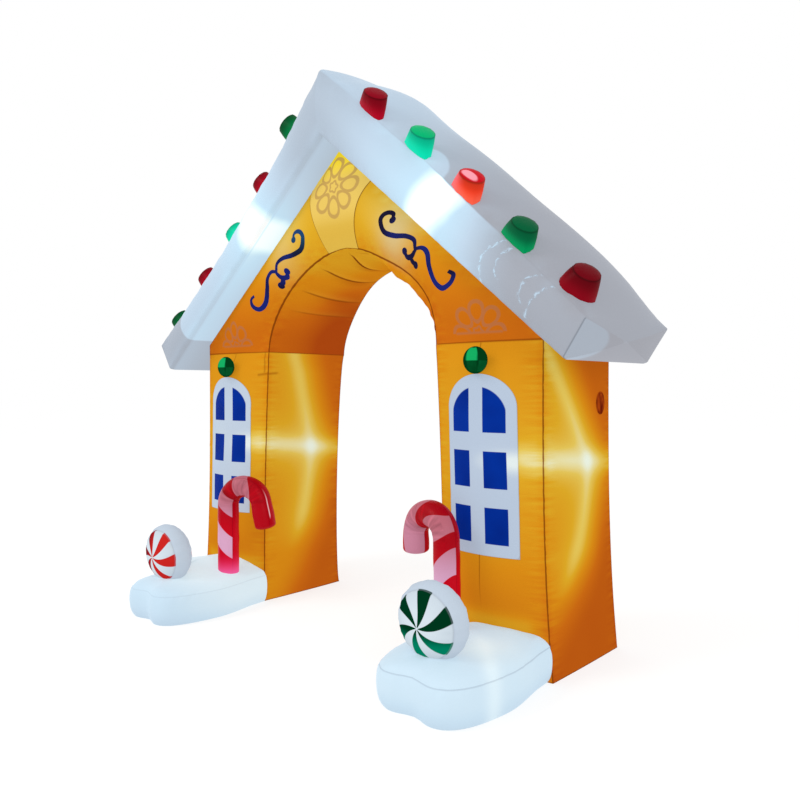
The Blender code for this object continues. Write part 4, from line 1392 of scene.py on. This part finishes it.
def basePaint(label):
    paint = Paint(nameFor("snowBase", label), snow)
    middle = base[label][0]
    # painted shade: darker towards the floor
    level = 0.52 - 0.12 * paint.z.fall(0.0, 0.1) + 0.08 * paint.uneven(3.5, 1.0)
    # the lamp inside: a bright patch beside the sweet and a streak on down the side
    x, y = paint.x - middle, paint.y
    line = x - 0.095 + 0.9 * (y + 0.31)
    streak = line.bell(0.055) * y.rise(-0.66, -0.45) * (y + 0.31).fall(0.0, 0.16)
    halo = (x - 0.1).bell(0.13) * (y + 0.32).bell(0.15)
    if label == "left":
        streak = (x - 0.32).bell(0.05) * (y + 0.7).bell(0.2) * 0.6
        halo = (x - 0.05).bell(0.2) * (y + 0.42).bell(0.2)
        # painted light: the left base dimmer, brighter towards its back
        level = level - 0.11 + 0.3 * (y + 0.75).rise(0.0, 0.55)
    level = level.over(0.5 * streak).over(0.6 * halo * paint.z.rise(0.05, 0.2))
    tone = paint.ramp(level, baseStops)
    seam = abs(paint.mark("level"))
    shown = 0.3 if label == "right" else 0.12
    tone = paint.mix(seam.fall(0.25, 0.9) * shown, tone, shade(128, 142, 162))
    return finished(paint, tone, cloth["round"], 0.35 + 0.65 * seam.fall(0.5, 4.0))


baseTrees = {}
for side, label in halves:
    made = makeBase(label, side)
    dress(made, basePaint(label), "snow_base_" + label, 50)
    baseTrees[label] = treeOf(made)
print("balls and bases made")


def baseHeight(label, x, y):
    hit = baseTrees[label].ray_cast(Vector((x, y, 1.0)), Vector((0.0, 0.0, -1.0)))[0]
    return hit.z if hit else 0.0


# candy canes

cane = {
    "radius": 0.063, "bend": 0.115, "top": 0.80, "out": 0.213, "sink": 0.015, "step": 0.008,
    # place, heading, lean, how far the crook turns, and how far it then hangs
    "left": (-0.785, math.radians(21), 0.0, math.radians(168), 0.138),
    "right": (0.905, math.radians(168), math.radians(1.5), math.pi, 0.07),
    "end": ((0.985, 0.06), (0.95, 0.13), (0.88, 0.2), (0.76, 0.27), (0.58, 0.33),
            (0.36, 0.375), (0.14, 0.39)),
    "crease": 0.0042, "slack": 0.0015, "pucker": 0.002, "seeds": (51, 52, 53),
    "rings": {"leg": 34, "crook": 60}, "around": 40,
    # where the cloth changes colour, along the outer side of the crook and along the inner
    "leftBands": ((-0.1, -0.2), (0.194, 0.083), (0.335, 0.21), (0.435, 0.333), (0.486, 0.475),
                  (0.556, 0.538), (0.612, 0.72)),
    "rightBands": ((0.172, 0.02), (0.276, 0.124), (0.4, 0.275), (0.457, 0.407), (0.508, 0.62),
                   (0.595, 0.69), (0.63, 1.14)),
}


def makeCane(label):
    x, heading, lean, sweep, leg = cane[label]
    r, bend, y = cane["radius"], cane["bend"], wall["front"] - cane["out"]
    bendUp = cane["top"] - r - bend
    stand = Matrix.Translation((x, y, 0.0))
    stand = stand @ Matrix.Rotation(-lean, 4, "Y") @ Matrix.Rotation(heading, 4, "Z")
    foot = baseHeight(label, x, y) - cane["sink"]
    path = [(0.0, blend(foot, bendUp, share), 0.0) for share in even(cane["rings"]["leg"])[:-1]]
    for a in sweep * even(cane["rings"]["crook"]):
        path.append((bend * (1.0 - math.cos(a)), bendUp + bend * math.sin(a), a))
    out, up, a = path[-1]
    for share in even(max(int(leg / cane["step"]), 4))[1:]:
        path.append((out + leg * share * math.sin(a), up + leg * share * math.cos(a), a))
    rings = [(place, 1.0, 0.0) for place in path]
    rings += [(path[-1], size, push) for size, push in cane["end"]]
    turn, (creaseSeed, slackSeed, puckerSeed) = (
        2.0 * math.pi * even(cane["around"])[:-1], cane["seeds"])
    rows, runs, run, last = [], [], 0.0, None
    for (out, up, a), size, push in rings:
        middle = Vector((out, 0.0, up)) + Vector((math.sin(a), 0.0, math.cos(a))) * r * push
        run += (middle - last).length if last else 0.0
        last, here = middle, np.array(run)
        inside = np.maximum(np.cos(turn), 0.0) * (1.0 if 0.05 < a < sweep + 0.01 else 0.15)
        crease = cane["crease"] * ripples(here, creaseSeed, 0.03) * inside ** 1.5
        pucker = cane["pucker"] * ripples(turn * r, puckerSeed, 0.03)
        pucker = pucker * fade(abs(run - foot), 0.03) * (size == 1.0)
        size = r * size + crease * math.sin(min(a, 3.1)) + pucker
        size = size + cane["slack"] * ripples(here, slackSeed, 0.2)
        points = []
        for angle, wide in zip(turn, size):
            aside = Vector((math.cos(a), 0.0, -math.sin(a))) * math.cos(angle)
            point = middle + (aside + Vector((0.0, 1.0, 0.0)) * math.sin(angle)) * float(wide)
            points.append(tuple(stand @ point))
        rows.append(points)
        runs.append([run])
    marks = {"run": np.array(runs), "inside": np.cos(turn), "behind": np.sin(turn)}
    return skin(nameFor("cane", label, "Cloth"), rows, marks)


def canePaint(label):
    paint = Paint(nameFor("candyStripe", label), {"Roughness": 0.34, "Specular IOR Level": 0.05})
    run, u, v = paint.mark("run"), paint.mark("inside"), paint.mark("behind")
    share, red, turnOn = u * 0.5 + 0.5, 0.0, 1.0
    for outer, inner in cane[label + "Bands"]:
        edge = run - share * (inner - outer) - outer
        red = edge.rise(-0.0015, 0.0015) * turnOn + red
        turnOn = -turnOn
    # a plain strip is sewn in behind the front panel
    if label == "left":
        strip = v.rise(-0.6, -0.57) * v.fall(0.5, 0.53)
        strip = strip * (1.0 - run.rise(0.33, 0.35) * (u < 0.0))
    else:
        strip = v.fall(-0.06, -0.03) * v.rise(-0.85, -0.82)
    # painted shade: the cane darker above its glowing foot, a little less so at the crook's end
    dark = run.rise(0.2, 0.5) * (1.0 - 0.35 * run.rise(0.62, 0.8))
    pale = paint.mix(dark, shade(216, 164, 196), shade(180, 100, 114))
    strong = paint.mix(dark, shade(198, 2, 26), shade(158, 0, 16))
    tone = paint.mix(red | strip, pale, strong)
    if label == "left":                # a bright line down the crook's tip
        shine = (v + 0.42).bell(0.045) * (u < 0.0)
        shine = shine * run.rise(0.69, 0.76) * run.fall(0.83, 0.86)
        tone = paint.mix(shine * 0.8, tone, shade(250, 214, 220))
    seam = abs(v + (0.57 if label == "left" else 0.05))
    tone = paint.mix(seam.fall(0.01, 0.05) * 0.35, tone, shade(96, 0, 16))
    # painted light and shade: lighter and darker bands across the creases around the crook
    across = paint.node("CombineXYZ", values=[run * 60.0, v * 0.6, u * 0.6])
    crease = paint.uneven(1.0, 2.0, across) * run.rise(0.36, 0.5)
    crease = crease * run.fall(0.7, 0.8)
    tone = paint.dim(tone, 1.0 + 1.3 * crease * (u > -0.7))
    glow = run.fall(-0.02, 0.15)
    glowTone = paint.mix(glow * glow, shade(246, 30, 96), shade(255, 110, 180))
    tone = paint.mix(glow * 0.85, tone, glowTone)
    return finished(paint, tone, (1.0, 1.0, 1.6), 0.3 + 0.5 * run.rise(0.4, 0.6))


for side, label in halves:
    dress(makeCane(label), canePaint(label), "cane_" + label, 50)


# peppermints

mint = {
    "radius": 0.17, "halfThick": 0.11, "x": {"left": -0.945, "right": 1.06}, "out": 0.524,
    "sink": 0.033, "tilt": math.radians(5), "ring": 0.88, "ringWide": 0.025, "ringDeep": 0.035,
    "pucker": 0.005, "restGap": 0.0008, "turn": {"left": 0.54, "right": 0.0}, "wedge": 0.5,
    "twist": 0.5, "start": 0.226, "seed": 91, "around": 96, "across": 72,
}


def makeMint(label, side):
    r = mint["radius"]
    place = (mint["x"][label], wall["front"] - mint["out"], base["top"] - mint["sink"] + r)
    a = blend(0.03, math.pi - 0.03, even(mint["across"]))[:, None]
    b = 2.0 * math.pi * even(mint["around"])[None, :-1]
    reach = np.sin(a)
    fromRing = reach - mint["ring"]
    full = 1.0 - mint["ringDeep"] * hill(fromRing, mint["ringWide"])
    away = np.abs(fromRing) * r
    seed = mint["seed"] + side
    full = full + puckers(away, b * 0.12, seed, 0.035, mint["pucker"], 0.025) / r
    u, v, w = full * reach * np.cos(b), full * reach * np.sin(b), -full * np.cos(a)
    turnTo = np.array(Matrix.Rotation(mint["tilt"], 3, "X"))
    rows = np.stack([u * r, w * mint["halfThick"], v * r], axis=-1) @ turnTo.T + np.array(place)
    for i, j in zip(*np.nonzero(rows[..., 2] < base["top"] + 0.01)):
        height = baseHeight(label, rows[i, j, 0], rows[i, j, 1]) + mint["restGap"]
        rows[i, j, 2] = max(rows[i, j, 2], height)
    marks = {"u": u, "v": v, "ring": reach, "front": (w < 0) * 1.0}
    return skin(nameFor("peppermint", label, "Cloth"), rows, marks)


def mintPaint(label):
    paint = Paint(nameFor("peppermint", label), {"Roughness": 0.45, "Specular IOR Level": 0.0})
    u, v, ring, front = (paint.mark(word) for word in ("u", "v", "ring", "front"))
    out = distance(u, v)
    angle = paint.node("Math", {"operation": "ARCTAN2"}, [v, u])
    turn = angle - mint["twist"] * out + (mint["start"] + mint["turn"][label])
    turn = turn % (math.pi / 3)
    wedge = turn.rise(0.0, 0.03) * turn.fall(mint["wedge"], mint["wedge"] + 0.03)
    reach = out - (mint["ring"] - 0.12) - 0.12 * front
    wedge = wedge * reach.fall(-0.015, 0.0) * out.rise(0.02, 0.04)
    # the printed stripes, with painted shade: the right mint's green darker higher up, the left
    # mint's red darker to the left
    if label == "right":
        inkLitAndShaded = paint.mix(v.fall(-0.5, -0.05), shade(0, 52, 28), shade(0, 128, 96))
    else:
        inkLitAndShaded = paint.mix(u.rise(-0.5, 0.1), shade(120, 24, 34), shade(198, 38, 34))
    white = paint.mix(out.rise(0.3, 1.0), shade(210, 222, 230), shade(198, 210, 220))
    rim = ring.rise(mint["ring"], mint["ring"] + 0.01) | (1.0 - front)
    white = paint.mix(rim, white, shade(190, 203, 217))
    tone = paint.mix(wedge, white, inkLitAndShaded)
    seam = (ring - mint["ring"]).bell(0.014)
    tone = paint.mix(seam * 0.3, tone, shade(140, 146, 160))
    return finished(paint, tone, cloth["round"], 0.4)


for side, label in halves:
    dress(makeMint(label, side), mintPaint(label), "peppermint_" + label, 60)
print("canes and peppermints made")


# floor, light and camera

studio = {
    "floor": 60.0, "floorDrop": 0.0005, "sky": 1.0, "white": (1.0, 1.0, 1.0, 1.0),
    "floorLook": {"Roughness": 0.8, "Specular IOR Level": 0.0, "Emission Strength": 0.7,
                  "Base Color": (0.3, 0.3, 0.3, 1.0), "Emission Color": (1.0, 1.0, 1.0, 1.0)},
    "lights": (("keyLight", (-3.0, -6.0, 6.0), 260.0), ("fillLight", (6.0, -4.0, 4.0), 120.0)),
    "aim": (0.0, 0.0, 1.2), "lightSize": 4.0,
    "camera": (3.080, -3.036, 1.335), "turn": (math.pi / 2 - 0.017, 0.0, 0.719),
    "lens": 34.68, "sensor": 36.0,
}

floorMesh = bmesh.new()
bmesh.ops.create_grid(floorMesh, x_segments=2, y_segments=2, size=studio["floor"])
studioFloor = fromMesh("studioFloor", floorMesh)
studioFloor.location.z = -studio["floorDrop"]
studioFloor.data.materials.append(Paint("paleFloor", studio["floorLook"]).material)

world = bpy.data.worlds.new("studioSky")
world.use_nodes = True
sky = world.node_tree.nodes["Background"].inputs
sky["Color"].default_value, sky["Strength"].default_value = studio["white"], studio["sky"]
bpy.context.scene.world = world


def aimed(place):                      # turned to face the arch
    return (Vector(studio["aim"]) - Vector(place)).to_track_quat("-Z", "Y").to_euler()


for name, place, power in studio["lights"]:
    light = bpy.data.lights.new(name, "AREA")
    light.shape, light.size, light.energy = "DISK", studio["lightSize"], power
    thing = putIn(name, light)
    thing.location, thing.rotation_euler = place, aimed(place)

cameraData = bpy.data.cameras.new("camera")
cameraData.lens, cameraData.sensor_width = studio["lens"], studio["sensor"]
camera = putIn("camera", cameraData)
camera.location, camera.rotation_euler = studio["camera"], studio["turn"]
bpy.context.scene.camera = camera
bpy.context.scene.view_settings.view_transform = "Standard"
